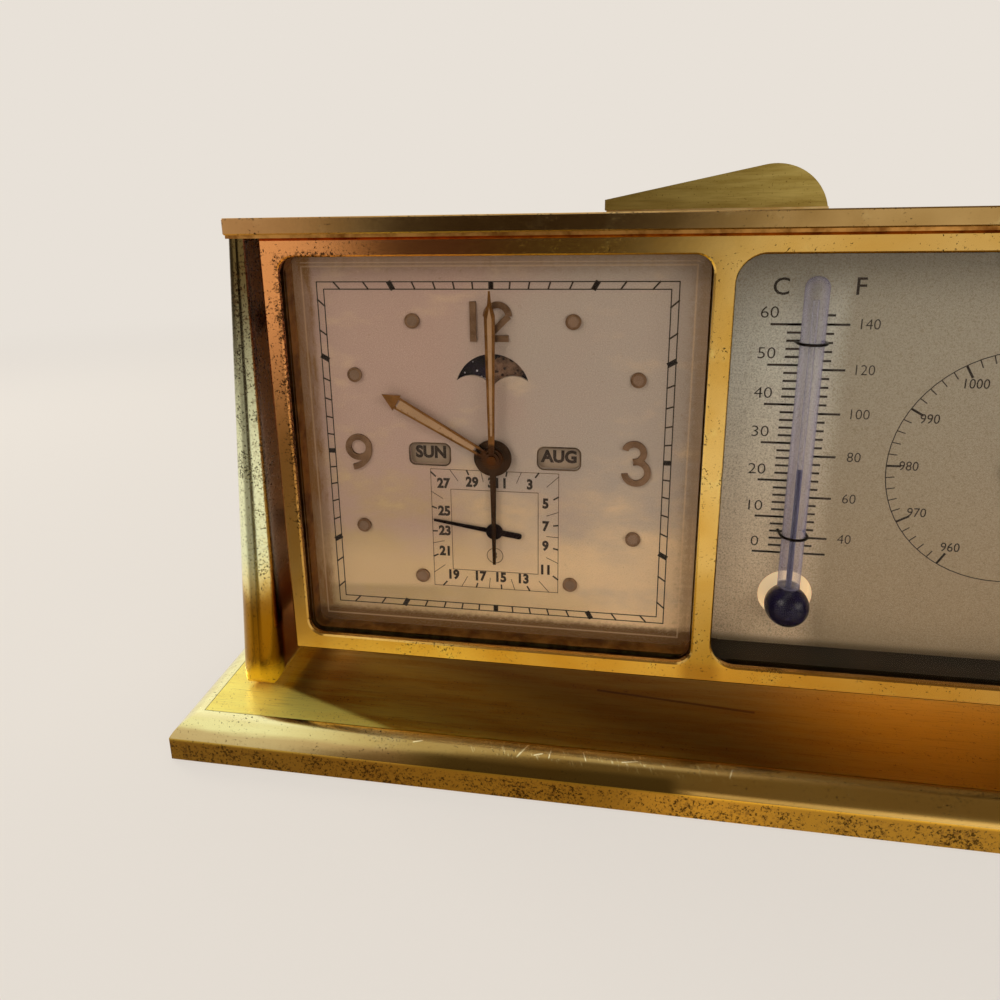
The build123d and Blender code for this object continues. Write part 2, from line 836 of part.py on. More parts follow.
def make_calendar():
    disc_y = dial_back + disc_gap
    disc_back = disc_y + disc_t
    plate = tile(dial_x, dial_z, insert, insert, rebate_r, dial_back, calendar_back)
    plate -= tile(dial_x, dial_z, calendar_open, calendar_open, rebate_r, dial_back - cut_run, calendar_y)
    for name, (x, z, r) in disc_places().items():
        disc = sleeve(dial_x + x, dial_z + z, r, disc_bore_r, disc_y, disc_back)
        save(name, disc)
        plate += rod(dial_x + x, dial_z + z, disc_seat_r, disc_back + run_gap, calendar_y)
        plate += rod(dial_x + x, dial_z + z, disc_bore_r - run_gap, disc_y - disc_gap / 2, calendar_y)
    for side in (-1, 1):
        place = (dial_x + side * pusher_x, dial_z + pusher_z)
        plate += sleeve(*place, pusher_sleeve_r, pusher_r + run_gap, calendar_back, calendar_back + pusher_sleeve_len)
    plate -= rod(dial_x, dial_z, alarm_pipe_r + run_gap, dial_back, calendar_back + cut_run)
    plate -= rod(dial_x, dial_z + date_z, date_arbor_r + run_gap, dial_back, calendar_back + cut_run)
    for x, z in pillar_places():
        plate -= rod(x, z, pillar_neck_r + thread_gap, calendar_y - cut_run, calendar_back + cut_run)
    save("calendar_plate", plate)


# Hands

def hand(points):
    return make_face(Polyline(*points, close=True))


def tapered(length, tip_w, root_w):
    return [(-root_w / 2, 0), (-tip_w / 2, length), (tip_w / 2, length), (root_w / 2, 0)]


def turned(sketch, angle, x, z, y0, y1):
    return thick(Rot(0, 0, -angle) * sketch, x, z, y0, y1)


def make_minute_hand():
    y0 = dial_y - minute_front
    slim = minute_tip_w / 2
    wide = minute_w / 2
    shoulder = minute_len - minute_point
    step = shoulder + minute_w
    outline = [(-minute_root_w / 2, 0), (-wide, shoulder), (-slim * 2, step), (-slim, minute_len),
               (slim, minute_len), (slim * 2, step), (wide, shoulder), (minute_root_w / 2, 0)]
    face = hand(outline) + Circle(minute_hub_r)
    face -= Circle(arbor_r)
    return thick(face, dial_x, dial_z, y0, y0 + hand_t)


def make_hour_hand():
    y0 = dial_y - hour_front
    hour_head = hour_len - hour_point
    bar = hand(tapered(hour_head, hour_w, hour_root_w))
    slot = hand(tapered(hour_head, hour_w - 2 * hour_rim, hour_root_w - 2 * hour_rim))
    start = Pos(0, -hour_len + hour_hub_r + hour_rim) * Rectangle(hour_w * 2, hour_len * 2)
    bar -= slot - start
    head = hand([(-hour_head_w / 2, hour_head), (0, hour_len), (hour_head_w / 2, hour_head)])
    face = bar + head + Circle(hour_hub_r)
    face -= Circle(hour_pipe_r)
    return turned(face, hour_angle, dial_x, dial_z, y0, y0 + hand_t)


def make_alarm_hand():
    y0 = dial_y - alarm_front
    face = hand(tapered(alarm_len, alarm_tip_w, alarm_w)) + Circle(alarm_hub_r)
    face -= Circle(alarm_pipe_r)
    return turned(face, alarm_angle, dial_x, dial_z, y0, y0 + hand_t)


def make_date_hand():
    y0 = dial_y - date_front
    face = hand(tapered(date_len, date_w / 2, date_w)) + Circle(date_hub_r)
    tail = Pos(0, -date_tail / 2) * RectangleRounded(date_tail_w, date_tail, date_tail_w * 0.45)
    blade = turned(face + tail, date_angle, dial_x, dial_z + date_z, y0, y0 + hand_t)
    arbor = rod(dial_x, dial_z + date_z, date_arbor_r, y0, calendar_back)
    save("date_hand", blade + arbor)


def make_hands():
    save("minute_hand", make_minute_hand())
    save("hour_hand", make_hour_hand())
    save("alarm_hand", make_alarm_hand())
    make_date_hand()


# Movement

def pillar_places():
    ends = (-pillar_at, pillar_at)
    return [(dial_x + x, dial_z + z) for x in ends for z in ends]


def pivot_places():
    return [(third_x, third_z), (escape_x, escape_z), (balance_x, balance_z)]


def movement_plate(y0, winding_bore):
    plate = tile(dial_x, dial_z, plate_size, plate_size, plate_corner_r, y0, y0 + movement_plate_t)
    holes = [(0, 0, arbor_r + run_gap), (alarm_set_x, alarm_set_z, arbor_r + run_gap)]
    holes += [(x, z, pivot_r + run_gap) for x, z in pivot_places()]
    holes += [(barrel_x, barrel_z, winding_bore), (alarm_barrel_x, alarm_barrel_z, winding_bore)]
    for x, z, r in holes:
        plate -= rod(dial_x + x, dial_z + z, r, y0 - cut_run, y0 + movement_plate_t + cut_run)
    return plate


def make_movement_plates():
    first = movement_plate(movement_y, winding_r + run_gap)
    second = movement_plate(rear_plate_y, winding_r + run_gap)
    x, z = around(minute_wheel_angle, minute_wheel_at)
    first -= rod(dial_x + x, dial_z + z, pivot_r + run_gap, movement_y - cut_run, room_y + cut_run)
    for x, z in pillar_places():
        first -= rod(x, z, pillar_neck_r + thread_gap, movement_y - cut_run, room_y + cut_run)
        second -= rod(x, z, movement_screw_r + thread_gap, rear_plate_y - cut_run, rear_plate_back + cut_run)
    save("movement_front_plate", first)
    save("movement_rear_plate", second)


def make_pillars():
    pillars = []
    screws = []
    for x, z in pillar_places():
        neck = rod(x, z, pillar_neck_r, calendar_y, rear_plate_y)
        ahead = rod(x, z, pillar_r, calendar_back, movement_y)
        behind = rod(x, z, pillar_r, room_y, rear_plate_y)
        grip = rear_plate_y - movement_room / 3
        thread = rod(x, z, movement_screw_r + thread_gap, grip - free_gap, rear_plate_y + cut_run)
        pillars.append(neck + ahead + behind - thread)
        head_y = rear_plate_back + movement_screw_head_t
        shank = rod(x, z, movement_screw_r, grip, head_y)
        head = rod(x, z, movement_screw_head_r, rear_plate_back, head_y)
        slot = block(x - movement_screw_head_r, x + movement_screw_head_r,
                     head_y - movement_screw_head_t * slot_depth_share, head_y, z - slot_w / 2, z + slot_w / 2)
        screws.append(shank + head - slot)
    save("movement_pillars", *pillars)
    save("movement_screws", *screws)


def motion_layers():
    # three layers between the calendar plate and the movement: alarm, hour and cannon
    pitch = (motion_gap - 2 * free_gap - wheel_t) / 2
    first = calendar_back + free_gap
    return [first + n * pitch for n in range(3)]


def make_motion_work():
    alarm_layer, hour_layer, cannon_layer = motion_layers()
    hour_bore = arbor_r + run_gap
    alarm_bore = hour_pipe_r + run_gap
    centre = (dial_x, dial_z)
    alarm_r = pitch_radii(math.hypot(alarm_set_x, alarm_set_z), alarm_teeth, alarm_pinion_teeth)[0]
    pinion_r, hour_r = pitch_radii(minute_wheel_at, minute_pinion_teeth, hour_teeth)
    minute_r = pitch_radii(minute_wheel_at, minute_teeth, cannon_teeth)[0]
    alarm = wheel(*centre, alarm_r, alarm_teeth, alarm_layer, alarm_layer + wheel_t, crossings)
    alarm += rod(*centre, alarm_pipe_r, dial_y - alarm_front, alarm_layer)
    alarm -= rod(*centre, alarm_bore, front, alarm_layer + wheel_t)
    hour = wheel(*centre, hour_r, hour_teeth, hour_layer, hour_layer + wheel_t, crossings)
    hour += rod(*centre, hour_pipe_r, dial_y - hour_front, hour_layer)
    hour -= rod(*centre, hour_bore, front, hour_layer + wheel_t)
    x, z = around(minute_wheel_angle, minute_wheel_at)
    place = (dial_x + x, dial_z + z)
    minute = wheel(*place, minute_r, minute_teeth, cannon_layer, cannon_layer + wheel_t, crossings)
    minute += wheel(*place, pinion_r, minute_pinion_teeth, hour_layer, cannon_layer)
    minute += rod(*place, pivot_r, hour_layer, room_y)
    save("alarm_wheel", alarm)
    save("hour_wheel", hour)
    save("minute_wheel", minute)


def train_start():
    # where the center wheel lies, just behind the going barrel
    return room_y + barrel_gap + barrel_len + barrel_gap


def make_center_wheel():
    centre = (dial_x, dial_z)
    cannon_y = motion_layers()[2]
    barrel_y = room_y + barrel_gap
    disc_y = train_start()
    cannon_r = pitch_radii(minute_wheel_at, cannon_teeth, minute_teeth)[0]
    pinion_r = pitch_radii(math.hypot(barrel_x, barrel_z), center_pinion_teeth, barrel_teeth)[0]
    disc_r = pitch_radii(math.hypot(third_x, third_z), center_teeth, third_pinion_teeth)[0]
    shaft = rod(*centre, arbor_r, dial_y - tip_front, back + knob_gap + knob_len / 2)
    cannon = wheel(*centre, cannon_r, cannon_teeth, cannon_y, cannon_y + wheel_t)
    pinion = wheel(*centre, pinion_r, center_pinion_teeth, barrel_y, barrel_y + barrel_len)
    disc = wheel(*centre, disc_r, center_teeth, disc_y, disc_y + wheel_t, crossings)
    save("center_wheel", fuse(shaft, cannon, pinion, disc))


def make_train():
    layer = wheel_t + free_gap
    first = train_start()
    second = first + layer
    last = second + layer
    third = (dial_x + third_x, dial_z + third_z)
    escape = (dial_x + escape_x, dial_z + escape_z)
    balance = (dial_x + balance_x, dial_z + balance_z)
    shaft = (movement_y, rear_plate_back)
    third_pinion_r = pitch_radii(math.hypot(third_x, third_z), third_pinion_teeth, center_teeth)[0]
    apart = math.hypot(escape_x - third_x, escape_z - third_z)
    third_r, escape_pinion_r = pitch_radii(apart, third_teeth, escape_pinion_teeth)
    third_wheel = fuse(rod(*third, pivot_r, *shaft),
                       wheel(*third, third_pinion_r, third_pinion_teeth, first, second),
                       wheel(*third, third_r, third_teeth, second, second + wheel_t, crossings))
    escape_wheel = fuse(rod(*escape, pivot_r, *shaft),
                        wheel(*escape, escape_pinion_r, escape_pinion_teeth, second, last),
                        wheel(*escape, escape_wheel_r, escape_teeth, last, last + wheel_t, crossings))
    balance_y0 = room_y + balance_y
    arm = Rectangle(2 * balance_r - balance_rim, balance_rim)
    balance_wheel = fuse(rod(*balance, pivot_r, *shaft),
                         sleeve(*balance, balance_r, balance_r - balance_rim, balance_y0, balance_y0 + balance_t),
                         thick(arm, *balance, balance_y0, balance_y0 + balance_t))
    save("third_wheel", third_wheel)
    save("escape_wheel", escape_wheel)
    save("balance_wheel", balance_wheel)


def barrel(x, z, rim_r, teeth, length):
    y0 = room_y + barrel_gap
    y1 = y0 + length
    drum_r = tooth_root(rim_r, teeth) - barrel_step
    drum = rod(x, z, drum_r, y0, y1) + wheel(x, z, rim_r, teeth, y1 - 2 * wheel_t, y1 - wheel_t)
    drum -= rod(x, z, drum_r - barrel_wall, y0 + barrel_wall, y1 - barrel_wall)
    return drum - rod(x, z, winding_r + run_gap, y0 - cut_run, y1 + cut_run)


def make_barrels():
    rim_r = pitch_radii(math.hypot(barrel_x, barrel_z), barrel_teeth, center_pinion_teeth)[0]
    going = (dial_x + barrel_x, dial_z + barrel_z)
    alarm = (dial_x + alarm_barrel_x, dial_z + alarm_barrel_z)
    save("going_barrel", barrel(*going, rim_r, barrel_teeth, barrel_len))
    save("alarm_barrel", barrel(*alarm, alarm_barrel_r, alarm_barrel_teeth, alarm_barrel_len))


# Keys, knobs and pushers at the back

def winding_key(x, z):
    y0 = back + key_gap
    y1 = y0 + key_len
    hub = rod(x, z, key_hub_r, y0, y0 + key_len / 2)
    shaft = rod(x, z, winding_r, movement_y, y0 + key_len / 3)
    wing_y = y1 - key_lobe_r
    lobes = [Pos(side * key_lobe_x, wing_y) * (Circle(key_lobe_r) - Circle(key_hole_r)) for side in (-1, 1)]
    web = Pos(0, (y0 + wing_y) / 2) * Rectangle(2 * (key_lobe_x - key_hole_r), wing_y - y0)
    trimmed = web - Pos(-key_lobe_x, wing_y) * Circle(key_hole_r) - Pos(key_lobe_x, wing_y) * Circle(key_hole_r)
    wings = extrude(Plane(origin=(x, 0, z)) * (lobes[0] + lobes[1] + trimmed), amount=key_t / 2, both=True)
    return fuse(hub, shaft, wings)


def knob(x, z):
    y0 = back + knob_gap
    body = rod(x, z, knob_r, y0, y0 + knob_len)
    body = chamfer(body.edges(), knob_rim)
    return body - rod(x, z, arbor_r, y0 - cut_run, y0 + knob_len / 2)


def make_rear_knobs():
    save("time_winding_key", winding_key(dial_x + barrel_x, dial_z + barrel_z))
    save("alarm_winding_key", winding_key(dial_x + alarm_barrel_x, dial_z + alarm_barrel_z))
    save("time_set_knob", knob(dial_x, dial_z))
    x = dial_x + alarm_set_x
    z = dial_z + alarm_set_z
    alarm_layer = motion_layers()[0]
    shaft = rod(x, z, arbor_r, alarm_layer, back + knob_gap + knob_len / 2)
    pinion_r = pitch_radii(math.hypot(alarm_set_x, alarm_set_z), alarm_pinion_teeth, alarm_teeth)[0]
    gear = wheel(x, z, pinion_r, alarm_pinion_teeth, alarm_layer, alarm_layer + wheel_t)
    save("alarm_set_knob", fuse(knob(x, z), shaft, gear))


def make_pushers():
    for name, side in (("calendar_corrector", -1), ("alarm_stop_button", 1)):
        x = dial_x + side * pusher_x
        z = dial_z + pusher_z
        y0 = calendar_back + pusher_reach
        y1 = back + pusher_rise
        body = rod(x, z, pusher_r, y0, y1 + pusher_head_t / 2)
        head = rod(x, z, pusher_head_r, y1, y1 + pusher_head_t)
        save(name, body + chamfer(head.edges(), knob_rim / 2))


# Thermometer

def make_thermometer():
    y = weather_y - tube_r - fit_gap
    z0 = dial_z + bulb_z
    z1 = dial_z + tube_top_z
    glass = pin(tube_x, y, tube_r, z0, z1 - tube_r) + Pos(tube_x, y, z1 - tube_r) * Sphere(tube_r)
    glass += Pos(tube_x, y, z0) * Sphere(bulb_r)
    glass -= pin(tube_x, y, tube_bore_r, z0, z1 - 2 * tube_r)
    glass -= Pos(tube_x, y, z0) * Sphere(bulb_r - bulb_wall)
    spirit = pin(tube_x, y, tube_bore_r - spirit_gap, z0, dial_z + spirit_top_z)
    spirit += Pos(tube_x, y, z0) * Sphere(bulb_r - bulb_wall - spirit_gap)
    save("thermometer_tube", glass)
    save("thermometer_spirit", spirit)
    clips = []
    ring_r = tube_r + clip_wire_r + fit_gap
    for up in (clip_high_z, clip_low_z):
        z = dial_z + up
        bow = Pos(tube_x, y, z) * Torus(ring_r, clip_wire_r)
        bow = bow & block(tube_x - 2 * ring_r, tube_x + 2 * ring_r, y - 2 * ring_r, y, z - ring_r, z + ring_r)
        legs = [rod(tube_x + side * ring_r, z, clip_wire_r, y, weather_back + clip_wire_r) for side in (-1, 1)]
        clips.append(fuse(bow, *legs))
    save("thermometer_clips", *clips)


def make_weather_plate():
    plate = tile(weather_x, dial_z, insert, insert, rebate_r, weather_y, weather_back)
    hole_z = dial_z + bulb_hole_z
    cup_back = weather_back + bulb_cup_depth
    plate += rod(tube_x, hole_z, bulb_hole_r + bulb_cup_wall, weather_y, cup_back)
    plate -= rod(tube_x, hole_z, bulb_hole_r, weather_y - cut_run, cup_back - bulb_cup_wall)
    ring_r = tube_r + clip_wire_r + fit_gap
    for up in (clip_high_z, clip_low_z):
        for side in (-1, 1):
            plate -= rod(tube_x + side * ring_r, dial_z + up, clip_wire_r + thread_gap,
                         weather_y - cut_run, weather_back + cut_run)
    plate -= rod(baro_x, dial_z, baro_arbor_r + run_gap, weather_y - cut_run, weather_back + cut_run)
    save("weather_plate", plate)


# Barometer

def make_barometer():
    disc_y = weather_back + baro_post_len
    disc_back = disc_y + baro_disc_t
    frame = sleeve(baro_x, dial_z, baro_disc_r, baro_arbor_r + run_gap, disc_y, disc_back)
    for n in range(3):
        x, z = around(60 + 120 * n, baro_post_at)
        frame += rod(baro_x + x, dial_z + z, baro_post_r, weather_back, disc_y)
    folds = []
    for n in range(capsule_folds):
        y0 = disc_back + n * capsule_fold_t
        wide = rod(baro_x, dial_z, capsule_r, y0, y0 + capsule_fold_t / 2)
        neck = rod(baro_x, dial_z, capsule_r - capsule_fold, y0 + capsule_fold_t / 2, y0 + capsule_fold_t)
        folds.append(wide + neck)
    y0 = weather_y - baro_front
    pointer = hand(tapered(baro_len, baro_w / 3, baro_w)) + Circle(baro_hub_r)
    pointer += hand([(-baro_w, -baro_tail), (baro_w, -baro_tail), (baro_w / 2, 0), (-baro_w / 2, 0)])
    blade = thick(pointer, baro_x, dial_z, y0, y0 + hand_t)
    save("barometer_frame", frame)
    save("aneroid_capsule", fuse(*folds))
    save("barometer_pointer", blade + rod(baro_x, dial_z, baro_arbor_r, y0, disc_back - fit_gap))


# Compass

def compass_profile(inset, z0):
    # side view: a low end, a slope tangent to the round, and the round down to the seat
    low = -comp_low_x + inset
    r = comp_round_r
    cx = comp_round_x
    cz = z0 - comp_round_drop
    start = (low, z0 + comp_low_h)
    gap = math.hypot(cx - start[0], cz - start[1])
    lean = math.atan2(cz - start[1], cx - start[0]) + math.asin(r / gap)
    touch = (cx - r * math.sin(lean), cz + r * math.cos(lean))
    reach = math.sqrt(r ** 2 - comp_round_drop ** 2)
    end = (cx + reach, z0)
    middle = math.radians(90 - math.degrees(math.acos(reach / r))) / 2 + math.acos(reach / r) / 2
    crown = (cx + r * math.cos(middle), cz + r * math.sin(middle))
    lines = Polyline(end, (low, z0), start, touch)
    return make_face([lines, ThreePointArc(touch, crown, end)]), lean, start


def make_compass():
    washer_z = plate_z1 + run_gap
    z0 = washer_z + comp_washer_t
    side, lean, start = compass_profile(0, z0)
    body = extrude(Plane.XZ * side, amount=comp_w / 2, both=True)
    top_z = start[1] + (comp_dish_x - start[0]) * math.tan(lean)
    dish = Plane(origin=(comp_dish_x, 0, top_z), x_dir=(math.cos(lean), 0, math.sin(lean)),
                 z_dir=(-math.sin(lean), 0, math.cos(lean)))

    def level(sketch, low, high):
        plane = dish.offset(low)
        return extrude(plane * sketch, amount=high - low)

    body -= level(Circle(comp_dish_r), -comp_dish_depth, cut_run)
    body += pin(0, 0, comp_pivot_r, plate_z1 - comp_pivot_len, z0)
    half = comp_w / 2 - comp_washer_inset
    washer = block(-comp_low_x + comp_washer_inset, comp_high_x - comp_washer_inset, -half, half, washer_z, z0)
    washer -= pin(0, 0, comp_pivot_r + fit_gap, washer_z - cut_run, z0 + cut_run)
    card_r = comp_dish_r - fit_gap
    card_top = -comp_dish_depth + comp_card_t
    card = level(Circle(card_r), -comp_dish_depth, card_top)
    card += level(Circle(comp_pin_r), card_top, card_top + comp_pin_h)
    needle_low = card_top + comp_pin_h / 2
    tips = [(-comp_needle_r, 0), (0, -comp_needle_w / 2), (comp_needle_r, 0), (0, comp_needle_w / 2)]
    face = hand(tips) + Circle(comp_needle_hub_r)
    needle = level(face - Circle(comp_pin_r + run_gap), needle_low, needle_low + comp_needle_t)
    glass_top = -comp_rim
    glass = level(Circle(card_r), glass_top - comp_glass_t, glass_top)
    save("compass_housing", body)
    save("compass_washer", washer)
    save("compass_card", card)
    save("compass_needle", needle)
    save("compass_glass", glass)
    print("compass axis", dish.z_dir, "through", dish.origin)


def main():
    make_base()
    make_base_screws()
    make_cheeks()
    make_top()
    make_front_frame()
    make_frame_screws()
    make_case_shell()
    make_rear_cover()
    make_crystals()
    make_clock_dial()
    make_markers()
    make_calendar()
    make_hands()
    make_movement_plates()
    make_pillars()
    make_motion_work()
    make_center_wheel()
    make_train()
    make_barrels()
    make_rear_knobs()
    make_pushers()
    make_thermometer()
    make_weather_plate()
    make_barometer()
    make_compass()
    print("base top", base_top, "dial centre", dial_x, dial_z, "plate top", plate_z1)


main()
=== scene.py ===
import math

import bmesh
import bpy
from mathutils import Matrix, Vector


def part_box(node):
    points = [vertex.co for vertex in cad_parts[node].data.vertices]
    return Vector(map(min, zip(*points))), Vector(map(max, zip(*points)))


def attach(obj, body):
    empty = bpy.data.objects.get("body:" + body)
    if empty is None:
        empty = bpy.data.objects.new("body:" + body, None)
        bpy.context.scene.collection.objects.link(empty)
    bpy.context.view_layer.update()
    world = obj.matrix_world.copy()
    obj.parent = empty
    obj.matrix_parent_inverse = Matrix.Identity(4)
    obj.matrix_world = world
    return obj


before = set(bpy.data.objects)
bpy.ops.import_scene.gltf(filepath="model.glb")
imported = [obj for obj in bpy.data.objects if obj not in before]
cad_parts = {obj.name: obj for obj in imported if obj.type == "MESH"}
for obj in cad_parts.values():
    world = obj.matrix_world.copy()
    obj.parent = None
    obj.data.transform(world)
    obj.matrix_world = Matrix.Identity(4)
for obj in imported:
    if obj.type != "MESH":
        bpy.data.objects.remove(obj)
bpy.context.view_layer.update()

print("frame loaded:", len(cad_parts), "nodes")

mm = 0.001
inkDepth = 0.02


# Small helpers

def tint(red, green, blue):
    # a colour written as it looks on a screen, 0 to 255, turned into light values
    values = [channel / 255 for channel in (red, green, blue)]
    return tuple(v / 12.92 if v <= 0.04045 else ((v + 0.055) / 1.055) ** 2.4 for v in values) + (1.0,)


def middle(node):
    low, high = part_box(node)
    return (low + high) / 2


class Signal:
    # one socket of a node tree that can stand in a sum
    def __init__(self, net, socket):
        self.net = net
        self.socket = socket

    def __add__(self, other):
        return self.net.sum("ADD", self, other)

    def __radd__(self, other):
        return self.net.sum("ADD", other, self)

    def __sub__(self, other):
        return self.net.sum("SUBTRACT", self, other)

    def __rsub__(self, other):
        return self.net.sum("SUBTRACT", other, self)

    def __mul__(self, other):
        return self.net.sum("MULTIPLY", self, other)

    def __rmul__(self, other):
        return self.net.sum("MULTIPLY", other, self)

    def __truediv__(self, other):
        return self.net.sum("DIVIDE", self, other)

    def __rtruediv__(self, other):
        return self.net.sum("DIVIDE", other, self)

    def __neg__(self):
        return self.net.sum("SUBTRACT", 0.0, self)

    def __abs__(self):
        return self.net.sum("ABSOLUTE", self)

    def most(self, other):
        return self.net.sum("MAXIMUM", self, other)

    def least(self, other):
        return self.net.sum("MINIMUM", self, other)

    def ramp(self, low, high):
        # 0 below low, 1 above high, eased between them
        settings = {"interpolation_type": "SMOOTHSTEP"}
        return self.net.node("ShaderNodeMapRange", settings, (self, low, high, 0.0, 1.0))

    def fall(self, low, high):
        # 1 below low, 0 above high
        return 1.0 - self.ramp(low, high)


class Net:
    # a node tree whose nodes are written as sums
    def __init__(self, tree):
        self.tree = tree

    def node(self, kind, settings=None, inputs=(), output=0):
        made = self.tree.nodes.new(kind)
        for key, value in (settings or {}).items():
            setattr(made, key, value)
        pairs = inputs.items() if isinstance(inputs, dict) else enumerate(inputs)
        for key, value in pairs:
            if isinstance(value, Signal):
                self.tree.links.new(value.socket, made.inputs[key])
            else:
                made.inputs[key].default_value = value
        return Signal(self, made.outputs[output])

    def sum(self, operation, *terms):
        return self.node("ShaderNodeMath", {"operation": operation}, terms)

    def vector(self, x=0.0, y=0.0, z=0.0):
        return self.node("ShaderNodeCombineXYZ", None, (x, y, z))


class Finish(Net):
    # a material, or the world, with the colours of its look
    def __init__(self, owner, look=None):
        owner.use_nodes = True
        super().__init__(owner.node_tree)
        self.owner = owner
        self.look = look or {}
        self.tree.nodes.clear()

    def axes(self, place=None):
        first = self.node("ShaderNodeSeparateXYZ", None, (place or self.place,))
        return [Signal(self, socket) for socket in first.socket.node.outputs]

    def length(self, vector):
        return self.node("ShaderNodeVectorMath", {"operation": "LENGTH"}, (vector,), "Value")

    def shifted(self, offset, stretch=(1, 1, 1)):
        return self.node("ShaderNodeVectorMath", {"operation": "MULTIPLY_ADD"}, (self.place, stretch, offset))

    def noise(self, scale, detail, roughness, offset=(0, 0, 0), stretch=(1, 1, 1), place=None):
        if offset != (0, 0, 0) or stretch != (1, 1, 1):
            place = self.shifted(offset, stretch)
        inputs = {"Vector": place or self.place, "Scale": scale, "Detail": detail, "Roughness": roughness}
        return self.node("ShaderNodeTexNoise", {"noise_dimensions": "3D"}, inputs)

    def cells(self, place, scale, feature="F1"):
        return self.node("ShaderNodeTexVoronoi", {"feature": feature}, {"Vector": place, "Scale": scale})

    def colour(self, one):
        # a socket, a name in the look, or three values as on a screen
        return one if isinstance(one, Signal) else tint(*self.look.get(one, one))

    def blend(self, factor, first, second):
        colours = {0: factor, 6: self.colour(first), 7: self.colour(second)}
        return self.node("ShaderNodeMix", {"data_type": "RGBA"}, colours, 2)

    def layers(self, tone, *pairs):
        # colours laid over a tone in turn, each where its mask is 1
        for mask, colour in pairs:
            tone = self.blend(mask, tone, colour)
        return tone

    def gloss(self, tone, roughness, relief=None, strength=0.1, depth=0.02, **sockets):
        # a Principled surface, with a relief of so many millimetres where one is given
        inputs = {key.replace("_", " "): value for key, value in sockets.items()}
        inputs.update({"Base Color": tone, "Roughness": roughness})
        if relief is not None:
            shape = {"Strength": strength, "Distance": depth * mm, "Height": relief}
            inputs["Normal"] = self.node("ShaderNodeBump", None, shape)
        return self.node("ShaderNodeBsdfPrincipled", None, inputs)

    def mixed(self, factor, first, second):
        return self.node("ShaderNodeMixShader", None, (factor, first, second))

    def close(self, surface):
        kind = "World" if isinstance(self.owner, bpy.types.World) else "Material"
        made = self.tree.nodes.new("ShaderNodeOutput" + kind)
        self.tree.links.new(surface.socket, made.inputs["Surface"])
        return self.owner

    def done(self, *looks, **sockets):
        # closes a finish that is one Principled surface
        return self.close(self.gloss(*looks, **sockets))


def newFinish(name, look=None):
    # patterns lie on Object coordinates in millimetres
    made = Finish(bpy.data.materials.new(name), look)
    spot = made.node("ShaderNodeTexCoord", output="Object")
    made.place = made.node("ShaderNodeVectorMath", {"operation": "SCALE"}, {0: spot, "Scale": 1 / mm})
    return made


# Places that the looks share with the frame, all read from it

dialLow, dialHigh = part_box("clock_dial")
dialX, dialY, dialZ = (dialLow.x + dialHigh.x) / 2 / mm, dialLow.y / mm, (dialLow.z + dialHigh.z) / 2 / mm
plateLow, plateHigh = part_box("weather_plate")
weatherX, weatherY = (plateLow.x + plateHigh.x) / 2 / mm, plateLow.y / mm
baroX = middle("aneroid_capsule").x / mm
panelHalf = (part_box("base_panel")[1].x / mm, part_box("base_panel")[1].y / mm)
eaves, roof = [corner.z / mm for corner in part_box("top_plate")]


# Gilt and brushed brass

def stroke(x, y, start, end, half):
    # 1 on a thin straight line between two places, in two coordinates
    length = math.hypot(end[0] - start[0], end[1] - start[1])
    ux, uy = (end[0] - start[0]) / length, (end[1] - start[1]) / length
    right, up = x - start[0], y - start[1]
    along = right * ux + up * uy
    off = abs(right * uy - up * ux)
    return off.fall(half * 0.4, half) * (along.ramp(-0.1, 0.2) * along.fall(length - 0.2, length + 0.1))


giltLook = {"tarnish": (92, 54, 22), "dirt": (40, 22, 9), "roughness": 0.07}


def cloudyGold(made, cloud, patch):
    # gold in two tones with rubbed paler patches
    return made.layers("gold", (cloud.ramp(0.36, 0.66), "amber"), (patch.ramp(0.56, 0.78) * 0.6, "pale"))


def giltFinish(name, look, wash, edges, paintedLightMatt=None):
    # worn gilding with fine brown pits that gather along the edges; where painted light and highlights are
    # laid on, it mirrors less so the painted colour shows
    made = newFinish(name, look)
    cloud = made.noise(0.05, 3.0, 0.55)
    patch = made.noise(0.16, 4.0, 0.6, (31.0, 7.0, 3.0))
    grit = made.noise(1.5, 5.0, 0.72)
    speck = made.noise(2.6, 3.0, 0.7, (5.0, 41.0, 17.0))
    tone = wash(made, cloud, patch)
    closeness = edges(made)
    gather = patch * 0.3 + grit * 0.7 + closeness * 0.12
    pitted = speck * 0.75 + patch * 0.25 + closeness * 0.07
    spotShare = look["spots"]
    stain = gather.ramp(0.68 - spotShare, 0.86 - spotShare)
    spots = pitted.ramp(0.66 - spotShare * 0.6, 0.69 - spotShare * 0.6)
    tone = made.layers(tone, (stain * 0.6, giltLook["tarnish"]), (spots * 0.85, giltLook["dirt"]))
    roughness = giltLook["roughness"] + (cloud * 0.1 + grit * 0.1) + stain * 0.2
    metal = 1.0 - paintedLightMatt(made) if paintedLightMatt else 1.0
    return made.done(tone, roughness, grit * 0.4 - spots * 0.6, 0.25, 0.03, Metallic=metal)


frameLook = {
    "gold": (240, 200, 122), "amber": (226, 176, 84), "pale": (250, 228, 150),
    "copper": (228, 154, 98), "umber": (140, 86, 26), "shade": (120, 84, 30), "right": (160, 120, 64),
    "foot": (160, 104, 50), "halfWindow": 32.0, "rimWidth": 1.3, "spots": 0.11,
}


